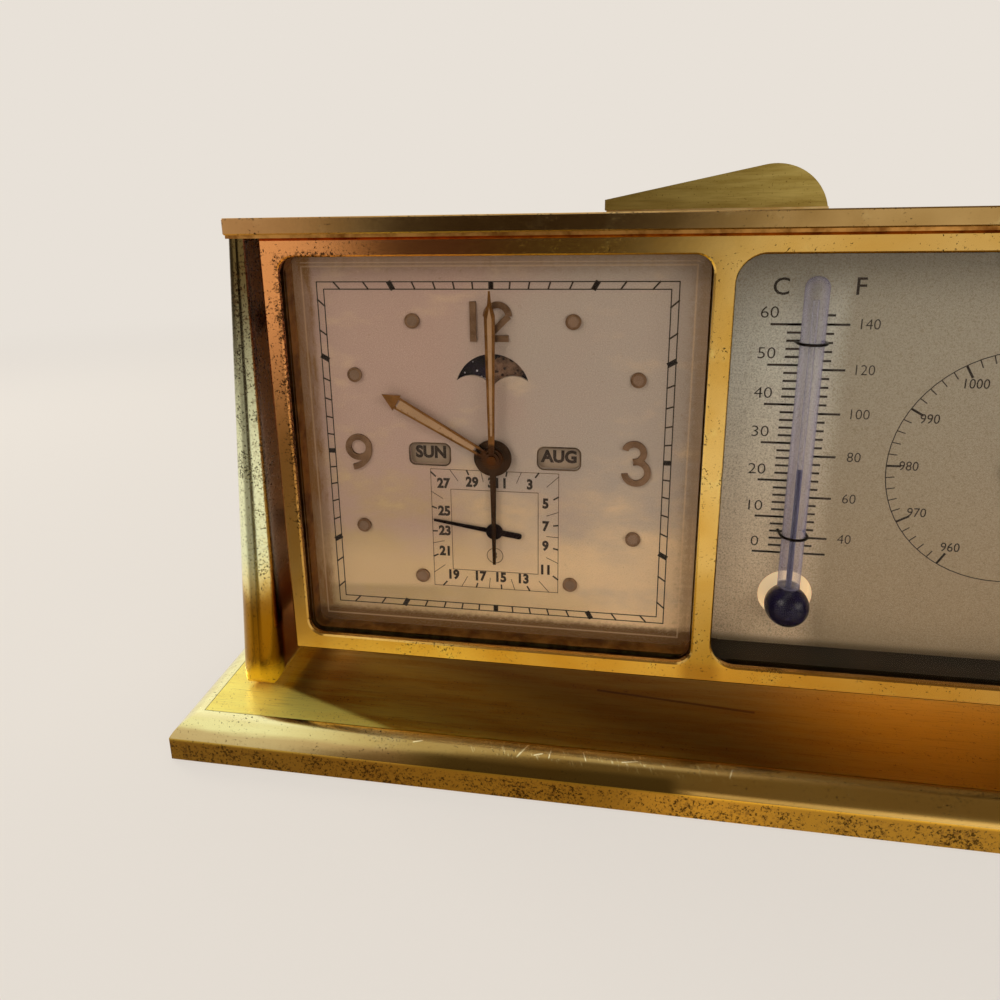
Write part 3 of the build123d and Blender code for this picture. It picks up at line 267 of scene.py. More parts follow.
def frameWash(made, cloud, patch):
    # copper towards the upper left, yellow elsewhere, and darker low on the bar between the windows
    x, y, z = made.axes()
    copper = (x + 66.0 - (z - dialZ) * 0.12 + (z - 72.0).ramp(0.0, 12.0) * -24.0).fall(-2.0, 16.0)
    return made.layers(
        cloudyGold(made, cloud, patch),
        (copper * z.ramp(26.0, 70.0), "copper"),
        (copper * z.fall(50.0, 64.0) * z.ramp(14.0, 20.0) * 0.6, "umber"),
        (abs(x).fall(1.5, 4.0) * z.fall(20.0, 42.0) * 0.6, "shade"),
        (x.ramp(-10.0, 24.0) * 0.5, "right"),
        (x.ramp(-44.0, -20.0) * z.fall(18.6, 20.0) * 0.35, "foot"))


def frameEdges(made):
    # near the outer edge of the front and round both windows, most of all at the upper left
    x, y, z = made.axes()
    side = abs(abs(x) - (weatherX - dialX) / 2) - frameLook["halfWindow"]
    rim = abs(side.most(abs(z - dialZ) - frameLook["halfWindow"]))
    worn = x.fall(-62.0, -40.0) * z.ramp(26.0, 50.0)
    return rim.fall(0.0, frameLook["rimWidth"]) * (0.3 + worn * 0.8) - (1.0 - worn) * 0.25


topLook = {
    "gold": (186, 152, 102), "amber": (156, 122, 72), "pale": (214, 190, 140), "left": (176, 120, 84),
    "roof": (226, 188, 118), "spots": 0.05,
}


def onRoof(z):
    # 1 on the flat upper side of the top plate
    return z.ramp(roof - 0.06, roof - 0.02)


def topWash(made, cloud, patch):
    # coppery at the left end of the edge, and brighter on the flat top
    x, y, z = made.axes()
    return made.layers(cloudyGold(made, cloud, patch), (x.fall(-70.0, -40.0) * 0.5, "left"),
                       (onRoof(z) * 0.8, "roof"))


def topEdges(made):
    # along the plate's two long edges, and not on its roof
    x, y, z = made.axes()
    return (z - eaves).least(roof - z).fall(0.0, 0.5) * (1.0 - onRoof(z))


# the pale left end of the roll is a painted reflection, the low tones are painted shade on the roll's lower
# half, and the bright low tone on the right is a painted highlight on its lower edge
baseLook = {
    "gold": (222, 200, 134), "amber": (206, 170, 94), "pale": (234, 228, 182),
    "leftEndReflection": (246, 242, 184), "brown": (150, 118, 62), "warm": (206, 170, 104),
    "lowShadeLeft": (178, 138, 96), "lowShadeMiddle": (84, 64, 24), "lowHighlightRight": (255, 208, 116),
    "bare": (255, 246, 206), "seam": (84, 60, 26),
    "bandLeft": (112, 78, 42), "bandMiddle": (140, 104, 58), "bandBright": (184, 140, 84),
    "bandRight": (156, 122, 78), "spots": 0.09,
    "scratches": [
        ((-28.2, -29.4), (-26.4, -27.2), 0.16), ((-25.6, -28.9), (-24.1, -28.5), 0.12),
        ((-23.2, -29.2), (-22.9, -27.8), 0.12), ((-17.4, -29.0), (-17.9, -27.6), 0.12),
        ((-12.0, -28.6), (-9.4, -28.2), 0.12), ((-45.2, -28.8), (-43.6, -28.4), 0.12),
        ((4.0, -29.3), (4.6, -27.9), 0.12),
    ],
}


def baseWash(made, cloud, patch):
    # pale and greenish at the left end of the roll as a painted reflection, brown to the right, painted shade
    # on the lower half of the roll with a painted highlight on its lower edge at the right, and a muted ochre
    # band below
    x, y, z = made.axes()
    grain = made.noise(0.6, 3.0, 0.6, stretch=(0.12, 1.0, 1.0))
    ahead = y.fall(-10.0, 10.0)
    # the lower half of the roll, where painted shade goes
    lower = (z + (grain - 0.5) * 0.8).fall(5.5, 6.3) * ahead
    slant = made.vector(x * 2.4 + y * 1.1, (y - x * 0.45) * 0.5, z * 0.5)
    hairs = made.noise(1.3, 2.0, 0.5, place=slant).ramp(0.6, 0.68) * z.ramp(5.9, 6.5)
    worn = hairs * x.ramp(-42.0, -28.0) * x.fall(-2.0, 12.0) * 0.5
    for start, end, half in baseLook["scratches"]:
        worn = worn.most(stroke(x, y, start, end, half))
    seam = (abs(x) - panelHalf[0]).most(abs(y) - panelHalf[1])
    ochre = made.layers(
        "bandLeft", (x.ramp(-64.0, -30.0), "bandMiddle"),
        (x.ramp(-16.0, -4.0), "bandBright"), (x.ramp(4.0, 16.0) * 0.8, "bandRight"))
    return made.layers(
        cloudyGold(made, cloud, patch),
        # painted reflection: the pale left end of the roll
        (x.fall(-74.0, -46.0) * (0.5 + grain * 0.8).least(1.0), "leftEndReflection"),
        (x.ramp(-72.0, -36.0) * (0.6 + grain * 0.3), "brown"),
        (x.ramp(-10.0, 6.0) * 0.5, "warm"),
        # painted shade on the lower half of the roll
        (lower * x.fall(-50.0, -40.0) * 0.6, "lowShadeLeft"),
        (lower * x.ramp(-50.0, -38.0) * x.fall(-5.5, -2.5) * 0.66, "lowShadeMiddle"),
        (worn * 0.7, "bare"),
        (seam.fall(0.06, 0.22) * 0.7, "seam"),
        # painted highlight along the roll's lower edge on the right
        (x.ramp(-5.0, 0.0) * ahead * z.fall(4.8, 5.2), "lowHighlightRight"),
        (z.fall(3.9, 4.7) * 0.92, ochre))


def baseEdges(made):
    # the upright lower band of the plinth
    x, y, z = made.axes()
    return z.fall(3.4, 4.6) * 0.95


def baseDull(made):
    # less metal where a painted highlight lies along the roll's lower edge, so the painted colour shows
    x, y, z = made.axes()
    return x.ramp(-5.0, 0.0) * y.fall(-10.0, 10.0) * z.ramp(4.4, 4.6) * z.fall(4.8, 5.2) * 0.5


# the bright yellow foot is a painted reflection, and the pale inside tone, darker towards its foot, is
# painted light on the shaded inner side
cheekLook = {
    "foot": (255, 200, 40), "belt": (118, 70, 18), "middle": (238, 240, 208), "top": (96, 80, 50),
    "insideFoot": (120, 58, 34), "inside": (246, 206, 178), "insideX": 72.29, "lean": 0.01967,
    "spots": 0.11,
}


def cheekInside(x, z):
    # 1 on the flat inner side, which leans out towards the foot
    return (abs(x) - cheekLook["insideX"] + z * cheekLook["lean"]).fall(0.04, 0.28)


def cheekWash(made, cloud, patch):
    # dark at the top, greenish grey below it, brown above a foot painted bright yellow as a painted
    # reflection, and painted light on the shaded inner side
    x, y, z = made.axes()
    fibre = made.noise(0.4, 3.0, 0.6, stretch=(1.0, 1.0, 0.3))
    height = z + (fibre - 0.5) * 4.0
    belt = (z + (fibre - 0.5) * 3.0).ramp(9.5, 13.5) * height.fall(23.0, 30.0)
    # painted light on the shaded inner side, darker towards its foot
    insideLightAndShade = made.blend(z.ramp(20.0, 34.0), "insideFoot", "inside")
    return made.layers(
        # the foot's bright yellow is a painted reflection
        "foot", (height.ramp(20.0, 34.0), "middle"),
        (height.ramp(46.0, 82.0), "top"), (belt * 0.85, "belt"),
        (cheekInside(x, z) * 0.85, insideLightAndShade))


def cheekEdges(made):
    # upright fibres, more of them higher up
    x, y, z = made.axes()
    return made.noise(0.9, 3.0, 0.6, stretch=(1.0, 1.0, 0.12)) * 1.5 * z.ramp(12.0, 60.0)


def cheekDull(made):
    # less metal on the foot and the inner side, where painted light lies, so the painted colour shows
    x, y, z = made.axes()
    inside = cheekInside(x, z) * z.ramp(20.0, 34.0) * (0.45 - z.ramp(46.0, 70.0) * 0.35)
    return inside.most(z.fall(9.0, 13.5) * 0.65)


def brushedFinish(name, gold, deep, age=1.0, look=None, wash=None, paintedLightMatt=None):
    # fine straight brushing from left to right, with age
    made = newFinish(name, look)
    streak = made.noise(5.0, 4.0, 0.7, stretch=(0.03, 1.0, 1.0))
    wide = made.noise(0.45, 4.0, 0.65, (9.0, 4.0, 2.0), (0.12, 1.0, 1.0))
    grit = made.noise(2.6, 4.0, 0.72)
    tone = made.blend(wide.ramp(0.38, 0.66) * age, gold, deep)
    if wash:
        tone = wash(made, tone)
    pores = (grit * 0.8 + wide * 0.2).ramp(0.58, 0.66) * 0.7 * age
    tone = made.layers(tone, (pores, giltLook["tarnish"]),
                       (streak.ramp(0.5, 0.75) * 0.35 * age, giltLook["tarnish"]))
    relief = streak * 0.7 - pores * 0.5
    if look:
        thin = made.cells(made.shifted((3.0, 0, 0), (0.05, 0.6, 0.6)), look["cuts"], "DISTANCE_TO_EDGE")
        relief = relief - thin.fall(0.0, 0.012) * 0.8
    roughness = 0.24 + streak * 0.16 + pores * 0.15
    # less metal where painted light is laid on, so the painted colour shows
    metal = 1.0 - paintedLightMatt(made) if paintedLightMatt else 1.0
    return made.done(tone, roughness, relief, 0.3, Metallic=metal)


# lit is a painted lit patch, the tone behind the foot a painted shadow, and amber and brown the painted
# shadow of the case
panelLook = {
    "gold": (254, 246, 130), "deep": (232, 204, 84),
    "footShadow": (96, 66, 22), "amber": (176, 110, 6), "brown": (80, 38, 2), "lit": (252, 236, 116),
    "scratch": (52, 22, 4), "right": (222, 182, 70), "cuts": 0.5,
}


def panelLit(x, y):
    # 1 on the corner of the panel painted as lit, left of the cheek's foot and along the front edge, up to a
    # painted shadow edge
    below = (y + 19.5) + (x + 70.0) * 0.35
    return (below.fall(-0.9, 0.5) * x.fall(-52.0, -45.0)).most(x.fall(-74.0, -71.0))


def panelWash(made, tone):
    # the panel is painted lit at its left end, with a painted shadow behind the foot and painted shade from
    # the case that darkens it to brown to the right
    x, y, z = made.axes()
    lit = panelLit(x, y)
    reach = x + (y + 26.0) * 2.6
    return made.layers(
        tone,
        # painted shadow behind the cheek's foot
        ((1.0 - lit) * x.fall(-70.0, -64.0) * 0.5, "footShadow"),
        # painted shadow of the case, darkening to brown to the right
        (reach.ramp(-48.0, -26.0) * 0.46, "amber"),
        (reach.ramp(-20.0, 12.0) * 0.62, "brown"),
        # painted light on the lit corner
        (lit * 0.8, "lit"),
        (stroke(x, y, (-16.1, -12.1), (10.3, -14.4), 0.4) * 0.6, "scratch"),
        (x.ramp(4.0, 40.0) * 0.85, "right"))


def panelDull(made):
    # less metal on the painted lit corner, so the painted colour shows
    x, y, z = made.axes()
    return panelLit(x, y) * 0.5


# Plain metal, paint, felt and glass

turnedLook = {"gold": (232, 200, 130), "deep": (208, 170, 98)}


def turnedFinish(node):
    # lathe rings about a knob's own axis, which runs front to back
    made = newFinish(node + "_turned", turnedLook)
    axis = middle(node) / mm
    x, y, z = made.axes(made.shifted((-axis.x, 0, -axis.z)))
    ring = made.noise(3.0, 3.0, 0.6, place=made.vector((x * x + z * z) * 0.35, y * 1.6))
    wear = made.noise(0.5, 4.0, 0.6)
    tone = made.blend(wear.ramp(0.42, 0.68), "gold", "deep")
    return made.done(tone, 0.22 + ring * 0.18, ring, 0.2, Metallic=1.0)


hubTone = (58, 34, 22)


def plainMetal(name, light, dark, roughness, tip=None, hub=None):
    # plain metal in two tones; what lies in front of a depth, or within a reach of the dial's centre, is dark
    made = newFinish(name)
    cloud = made.noise(0.3, 4.0, 0.6)
    fine = made.noise(6.0, 3.0, 0.6)
    tone = made.blend(cloud.ramp(0.35, 0.7), light, dark)
    if tip:
        tone = made.blend(made.axes()[1].fall(tip - 0.3, tip), tone, giltLook["tarnish"])
    if hub:
        x, y, z = made.axes(made.shifted((-dialX, 0, -dialZ)))
        tone = made.blend((x * x + z * z).fall(hub * hub * 0.8, hub * hub * 1.2) * 0.8, tone, hubTone)
    return made.done(tone, roughness + fine * 0.15, fine, 0.15, Metallic=1.0)


def paintFinish(name, colour, shadow, roughness, fleck=0.0, fleckColour=None):
    # matt paint or lacquer with faint clouds, and flecks of age where they are asked for
    made = newFinish(name)
    cloud = made.noise(0.09, 3.0, 0.55)
    fine = made.noise(6.0, 3.0, 0.6)
    tone = made.blend(cloud.ramp(0.35, 0.7), colour, shadow)
    if fleck:
        dots = made.noise(1.7, 3.0, 0.7, (2.0, 9.0, 4.0)).ramp(0.72 - fleck, 0.78 - fleck)
        tone = made.blend(dots * 0.6, tone, fleckColour)
    return made.done(tone, roughness + fine * 0.12, fine)


# the creamier, brighter lower half is painted light, the brown along the lower rim painted shade, and the
# amber streaks on the left rim and the pale line near the rim painted reflections of the crystal's edge
dialLook = {
    "silver": (176, 165, 160), "rose": (182, 156, 150), "cream": (182, 158, 116), "bright": (236, 206, 168),
    "stain": (138, 112, 74), "brown": (94, 60, 20), "age": (132, 104, 80), "amber": (140, 100, 52),
    "grain": (226, 204, 186), "crystalGlintHalf": 30.3,
}


def dialFinish():
    # silvered dial gone beige: rosy to the upper left, creamier and brighter below as painted light, painted
    # shade along the lower rim, and painted reflections of the crystal's edge along the left rim and in a
    # pale line near the rim
    made = newFinish("dial_silver_face", dialLook)
    x, y, z = made.axes(made.shifted((-dialX, 0, -dialZ)))
    cloud = made.noise(0.055, 3.0, 0.5)
    smear = made.noise(0.16, 4.0, 0.6, (8.0, 1.0, 3.0), (0.5, 1.0, 1.0))
    fine = made.noise(5.0, 4.0, 0.7)
    grain = made.noise(1.4, 4.0, 0.65)
    upright = made.noise(0.45, 4.0, 0.65, (4.0, 2.0, 9.0), (1.0, 1.0, 0.22))
    across = (x * 0.02 + cloud * 1.2 - 0.6).ramp(-0.35, 0.45)
    upper = made.blend(across, "rose", "silver")
    # painted light: a creamier, brighter lower half
    lower = made.blend(across, "cream", "bright")
    fall = -z + x * 0.05
    reach = abs(x).most(abs(z))
    rim = (reach + (grain - 0.5) * 3.0).ramp(28.8, 31.8)
    # painted shade along the lower rim
    bottom = (-z + (grain - 0.5) * 1.2).ramp(28.2, 29.6)
    # painted reflection of the crystal's edge along the left rim
    left = (-x + (grain - 0.5) * 0.8).ramp(28.4, 29.2) * (1.0 - bottom)
    tone = made.layers(
        upper,
        ((-(z * 0.03) + (smear - 0.5) * 1.6).ramp(-0.1, 0.9), lower),
        (smear.ramp(0.55, 0.75) * 0.25, "bright"),
        # painted reflection: a paler band low on the dial
        (fall.ramp(11.0, 20.0) * fall.fall(22.6, 24.0) * 0.55, "bright"),
        (rim * 0.6, "stain"),
        (bottom * 0.95, "brown"),
        (left * (0.35 + upright.ramp(0.4, 0.62) * 0.6), "amber"),
        # painted reflection: a pale line where the crystal's edge shows
        (abs(reach - dialLook["crystalGlintHalf"]).fall(0.06, 0.2) * 0.35, "bright"),
        ((grain * 0.7 + fine * 0.3).ramp(0.6, 0.7) * 0.35, "age"),
        (fine.ramp(0.52, 0.62) * 0.2, "age"),
        (fine.fall(0.38, 0.48) * 0.22, "grain"))
    return made.done(tone, 0.42 + fine * 0.12, fine, 0.12, Metallic=0.1)


# shade is a painted shadow along the plate's foot, and the cup's glow is painted light
weatherLook = {
    "plate": (206, 210, 208), "low": (226, 198, 166), "age": (128, 112, 88), "pale": (246, 240, 226),
    "shade": (70, 52, 30), "footZ": 19.6,
    "cup": (255, 240, 208), "paintedCupGlow": (156, 138, 114), "cupAt": (13.65, 28.55), "cupRadius": 4.35,
}


def weatherFinish():
    # fine-grained silvery plate, warmer towards the bottom, with painted shade to the right and at the top, a
    # painted shadow along its foot, and a bright cup behind the bulb that glows with painted light
    made = newFinish("weather_silver_face", weatherLook)
    x, y, z = made.axes()
    fine = made.noise(4.0, 4.0, 0.75)
    grain = made.noise(1.2, 4.0, 0.65)
    footZ, radius = weatherLook["footZ"], weatherLook["cupRadius"]
    cupX, cupZ = weatherLook["cupAt"]
    spread = made.length(made.vector(x - cupX, 0.0, z - cupZ))
    inside = spread.fall(radius - 0.1, radius) * (y - weatherY).ramp(0.1, 0.3)
    tone = made.layers(
        "plate",
        ((1.0 - (z - 22.0) * 0.017).ramp(0.0, 1.1), "low"),
        (fine.ramp(0.5, 0.62) * 0.5, "age"),
        (fine.fall(0.38, 0.48) * 0.4, "pale"),
        (grain.ramp(0.6, 0.72) * 0.4, "age"),
        # painted shade to the right and at the top, in the age tone
        (x.ramp(15.0, 20.0).most(z.ramp(66.0, 84.0)) * 0.66, "age"),
        # painted shadow along the plate's foot
        ((z + (fine - 0.5) * 1.5).fall(footZ, footZ + 1.6) * 0.7, "shade"),
        (inside, "cup"))
    # painted light: the cup glows
    paintedGlow = made.blend(inside * (0.7 + grain * 0.5), (0, 0, 0), "paintedCupGlow")
    return made.done(
        tone, 0.45 + fine * 0.15, fine, 0.2, Metallic=0.2, Emission_Color=paintedGlow, Emission_Strength=1.0)


def crystalFinish(name, colour, bend):
    # clear old plastic or glass that lets lamp light through to the dial
    made = newFinish(name)
    haze = made.noise(0.8, 4.0, 0.6)
    scratches = made.cells(made.shifted((0, 0, 0), (1.0, 1.0, 0.35)), 0.16, "DISTANCE_TO_EDGE")
    cut = scratches.fall(0.0, 0.004)
    roughness = 0.015 + haze.ramp(0.45, 0.75) * 0.02 + cut * 0.08
    clear = made.gloss(tint(*colour), roughness, haze * 0.4 - cut, 0.03, IOR=bend, Transmission_Weight=1.0)
    through = made.node("ShaderNodeBsdfTransparent", None, (tint(*colour),))
    return made.close(made.mixed(made.node("ShaderNodeLightPath", output="Is Shadow Ray"), clear, through))


tubeLook = {
    "milk": (178, 176, 214), "deep": (146, 142, 190), "side": (92, 82, 116), "bulb": (10, 4, 40),
    "bulbHigh": 6.3,
}


def tubeFinish():
    # milky lilac glass, denser towards its sides, over a dark bulb
    made = newFinish("glass_tube_milky", tubeLook)
    x, y, z = made.axes()
    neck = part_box("thermometer_tube")[0].z / mm + tubeLook["bulbHigh"]
    facing = made.node("ShaderNodeLayerWeight", None, (0.5,), "Facing")
    streak = made.noise(1.6, 2.0, 0.5, stretch=(1.0, 1.0, 0.04))
    above = z.ramp(neck + 0.4, neck + 0.9)
    tone = made.layers("milk", (streak.ramp(0.35, 0.65), "deep"),
                       (facing.ramp(0.55, 0.95) * 0.7, "side"), (1.0 - above, "bulb"))
    alpha = (0.88 - above * (0.86 - facing * 0.66 - streak * 0.04)).least(1.0)
    return made.done(tone, 0.12 + streak * 0.04, IOR=1.47, Specular_IOR_Level=0.35, Alpha=alpha)


moonLook = {
    "night": (24, 13, 42), "black": (9, 4, 12), "tan": (128, 98, 80), "brown": (92, 68, 56),
    "crater": (40, 24, 24), "away": 3.6, "radius": 2.65, "proud": 0.03, "angles": (36.0, 216.0),
    "skyRadius": 6.6, "starsPerMm": 0.42, "star": 0.16, "starThick": 0.02,
}


def moonFace():
    # tan moon with dark round craters
    made = newFinish("moon_tan", moonLook)
    cloud = made.noise(0.8, 4.0, 0.6)
    crater = made.cells(made.shifted((0.35, 0.0, 0.2), (1.0, 0.0, 1.0)), 1.2)
    tone = made.layers("tan", (cloud.ramp(0.4, 0.6), "brown"),
                       ((crater + cloud * 0.3).fall(0.36, 0.5), "crater"))
    return made.done(tone, 0.45 + cloud * 0.1, cloud)


def moonSky():
    made = newFinish("moon_disc_night", moonLook)
    cloud = made.noise(0.5, 4.0, 0.6)
    fine = made.noise(7.0, 3.0, 0.6)
    tone = made.blend(cloud.ramp(0.35, 0.65), "night", "black")
    return made.done(tone, 0.6 + fine * 0.2, fine)


feltLook = {"deep": (28, 58, 40), "light": (52, 88, 62), "flat": (24, 44, 32)}


def feltFinish():
    made = newFinish("felt_green", feltLook)
    fibre = made.noise(3.0, 5.0, 0.8)
    nap = made.noise(0.4, 3.0, 0.6)
    tone = made.layers("deep", (fibre.ramp(0.3, 0.7), "light"),
                       (nap.ramp(0.4, 0.7) * 0.4, "flat"))
    return made.done(tone, 0.95, fibre, 0.8, 0.2, Sheen_Weight=0.3)


needleLook = {"red": (150, 26, 20), "blue": (34, 44, 92), "speck": (20, 20, 24)}


def needleFinish():
    # steel blued on one half and painted red on the other
    made = newFinish("needle_blued", needleLook)
    x, y, z = made.axes(made.shifted(tuple(-v / mm for v in middle("compass_needle"))))
    fine = made.noise(4.0, 3.0, 0.6)
    tone = made.layers("red", (x.ramp(-0.05, 0.05), "blue"),
                       (fine.ramp(0.5, 0.8) * 0.3, "speck"))
    return made.done(tone, 0.3 + fine * 0.15, Metallic=0.6)


finishes = {
    "front_frame": giltFinish("gilt_frame", frameLook, frameWash, frameEdges),
    "top_plate": giltFinish("gilt_top", topLook, topWash, topEdges),
    "base_moulding": giltFinish("gilt_base", baseLook, baseWash, baseEdges, baseDull),
    "left_cheek": giltFinish("gilt_cheek", cheekLook, cheekWash, cheekEdges, cheekDull),
    "base_panel": brushedFinish("panel_brushed", "gold", "deep", 1.0, panelLook, panelWash, panelDull),
    "compass_housing": brushedFinish("compass_brushed", (206, 182, 110), (178, 152, 82)),
    "case_shell": brushedFinish("shell_brushed", (214, 180, 112), (184, 144, 76), 0.35),
    "rear_cover": brushedFinish("cover_brushed", (222, 188, 116), (196, 156, 84), 0.12),
    "compass_washer": plainMetal("washer_pale", (244, 214, 164), (226, 186, 120), 0.25),
    "under_plate": plainMetal("under_plate_brass", (214, 156, 88), (130, 80, 34), 0.3),
    "clock_rehaut": plainMetal("rehaut_brown", (196, 148, 76), (136, 92, 42), 0.3),
    "side_posts": plainMetal("post_brass", (206, 152, 82), (120, 76, 34), 0.28),
    "movement": plainMetal("movement_brass_fine", (222, 182, 104), (190, 146, 72), 0.3, tip=dialY),
    "steel": plainMetal("steel_screws", (176, 172, 164), (110, 104, 96), 0.28),
    "hour_markers": plainMetal("marker_gilt", (144, 116, 94), (112, 86, 68), 0.3),
    "hand_gold": plainMetal("hand_gilt", (142, 100, 58), (108, 72, 38), 0.28, hub=2.6),
    "hand_dark": plainMetal("hand_bronze", (72, 52, 38), (40, 28, 20), 0.35),
    "date_hand": plainMetal("hand_black", (40, 30, 32), (22, 16, 18), 0.35),
    "wire": plainMetal("wire_black", (40, 32, 30), (20, 15, 14), 0.35),
    "aneroid_capsule": plainMetal("capsule_nickel", (196, 188, 172), (150, 142, 128), 0.25),
    # dark brown paint that is also painted shade for the recess of the weather window
    "weather_rehaut": paintFinish("rehaut_dark_painted_shade", (36, 21, 5), (22, 13, 3), 0.7),
    "name_disc": paintFinish("name_disc_paint", (160, 143, 128), (142, 125, 108), 0.55),
    "thermometer_spirit": paintFinish("spirit_blue", (8, 5, 44), (4, 3, 30), 0.9),
    "compass_card": paintFinish("card_cream", (226, 214, 186), (206, 190, 156), 0.6),
    "clock_crystal": crystalFinish("crystal_clock", (254, 250, 244), 1.16),
    "weather_crystal": crystalFinish("crystal_weather", (254, 252, 248), 1.12),
    "compass_glass": crystalFinish("crystal_compass", (252, 252, 250), 1.45),
    "base_felt": feltFinish(),
    "clock_dial": dialFinish(),
    "weather_plate": weatherFinish(),
    "moon_disc": moonSky(),
    "thermometer_tube": tubeFinish(),
    "compass_needle": needleFinish(),
}
ink = paintFinish("ink_brown_black", (46, 32, 28), (30, 20, 18), 0.5)
inkFaint = paintFinish("ink_faint", (104, 84, 66), (90, 72, 56), 0.55)
lume = paintFinish("lume_tan", (176, 144, 114), (152, 120, 90), 0.7, 0.12, (112, 80, 52))
moonPaint = moonFace()
dotPaint = paintFinish("dot_tan", (134, 108, 90), (112, 90, 74), 0.6)
starPaint = paintFinish("star_white", (200, 196, 210), (160, 156, 180), 0.5)
windowMetal = plainMetal("window_rim_nickel", (132, 114, 98), (84, 70, 60), 0.32)


# Which finish each piece of the frame takes

finishNames = {
    "right_cheek": "left_cheek", "day_disc": "name_disc", "month_disc": "name_disc",
    "minute_hand": "hand_gold", "hour_hand": "hand_gold", "alarm_hand": "hand_dark",
    "thermometer_clips": "wire", "barometer_pointer": "wire", "escape_wheel": "steel",
    "movement_front_plate": "movement", "movement_rear_plate": "movement", "movement_pillars": "movement",
    "barometer_frame": "movement", "calendar_plate": "movement",
}
turnedNodes = ["time_set_knob", "alarm_set_knob", "calendar_corrector", "alarm_stop_button",
               "time_winding_key", "alarm_winding_key"]


def dressNodes():
    for name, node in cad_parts.items():
        if name in turnedNodes:
            finish = turnedFinish(name)
        elif name.endswith("screws"):
            finish = finishes["steel"]
        elif name.endswith(("wheel", "barrel")) and name != "escape_wheel":
            finish = finishes["movement"]
        else:
            finish = finishes[finishNames.get(name, name)]
        for slot in node.material_slots:
            slot.material = finish


dressNodes()
print("finishes:", len(bpy.data.materials))


# Mesh tools

def loft(bm, loops, closed=True):
    # quads through loops of points, back to the first loop or with flat ends
    rows = [[bm.verts.new(Vector(point) * mm) for point in loop] for loop in loops]
    for row, after in zip(rows, rows[1:] + rows[:1] if closed else rows[1:]):
        for n in range(len(row)):
            m = (n + 1) % len(row)
            bm.faces.new((row[n], row[m], after[m], after[n]))
    if not closed:
        bm.faces.new(rows[0][::-1])
        bm.faces.new(rows[-1])


def prism(bm, outline, y0, y1):
    # a flat plate with the outline given as (x, z), from y0 at the front to y1
    loft(bm, [[(x, y, z) for x, z in outline] for y in (y0, y1)], closed=False)


def roundLoop(x, z, w, h, r, y, steps=6):
    points = []
    for quarter, (sx, sz) in enumerate(((1, 1), (-1, 1), (-1, -1), (1, -1))):
        for n in range(steps + 1):
            angle = math.pi / 2 * (quarter + n / steps)
            px = x + sx * (w / 2 - r) + r * math.cos(angle)
            pz = z + sz * (h / 2 - r) + r * math.sin(angle)
            points.append((px, y, pz))
    return points


def around(angle, radius):
    # a place at a clock angle in degrees, clockwise from the top
    return radius * math.sin(math.radians(angle)), radius * math.cos(math.radians(angle))


def onSquare(angle, half):
    # the same, out to the side of a square
    x, z = around(angle, 1.0)
    reach = half / max(abs(x), abs(z))
    return x * reach, z * reach


def at(x, y, z):
    return Matrix.Translation(Vector((x, y, z)) * mm)


def turned(angle, axis="Y"):
    return Matrix.Rotation(math.radians(angle), 4, axis)


def addMesh(bm, mesh, matrix):
    mesh.transform(matrix)
    bm.from_mesh(mesh)
    bpy.data.meshes.remove(mesh)


def evaluated(holder):
    # the holder's final shape as a plain mesh
    return bpy.data.meshes.new_from_object(holder.evaluated_get(bpy.context.evaluated_depsgraph_get()))


def words(bm, matrix, text, size, width=1.0, weight=0.0):
    # lettering as a thin solid, centred on its own place and turned to the front
    curve = bpy.data.curves.new("lettering", "FONT")
    curve.body = text
    curve.size = size * mm
    curve.align_x = "CENTER"
    curve.align_y = "CENTER"
    curve.offset = weight * mm
    curve.extrude = inkDepth / 2 * mm
    curve.resolution_u = 3
    holder = bpy.data.objects.new("lettering", curve)
    bpy.context.scene.collection.objects.link(holder)
    mesh = evaluated(holder)
    bpy.data.objects.remove(holder)
    addMesh(bm, mesh, matrix @ turned(90, "X") @ Matrix.Diagonal((width, 1, 1, 1)))


def printedLoop(bm, x, z, outer, line, y, steps=None):
    # a thin raised line round a square, or round a circle with so many steps to a quarter
    loops = []
    for half, depth in ((outer, y), (outer, y - inkDepth), (outer - line, y - inkDepth), (outer - line, y)):
        corner = half - 0.001 if steps else 0.05
        loops.append(roundLoop(x, z, 2 * half, 2 * half, corner, depth, steps or 1))
    loft(bm, loops)


def finishPiece(bm, name, material, body, smooth=False):
    bmesh.ops.remove_doubles(bm, verts=bm.verts, dist=0.000001)
    bmesh.ops.recalc_face_normals(bm, faces=bm.faces)
    mesh = bpy.data.meshes.new(name)
    bm.to_mesh(mesh)
    bm.free()
    mesh.materials.clear()
    mesh.materials.append(material)
    for face in mesh.polygons:
        face.use_smooth = smooth
        face.material_index = 0
    piece = bpy.data.objects.new(name, mesh)
    bpy.context.scene.collection.objects.link(piece)
    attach(piece, body)


# Geometry node trees for what repeats

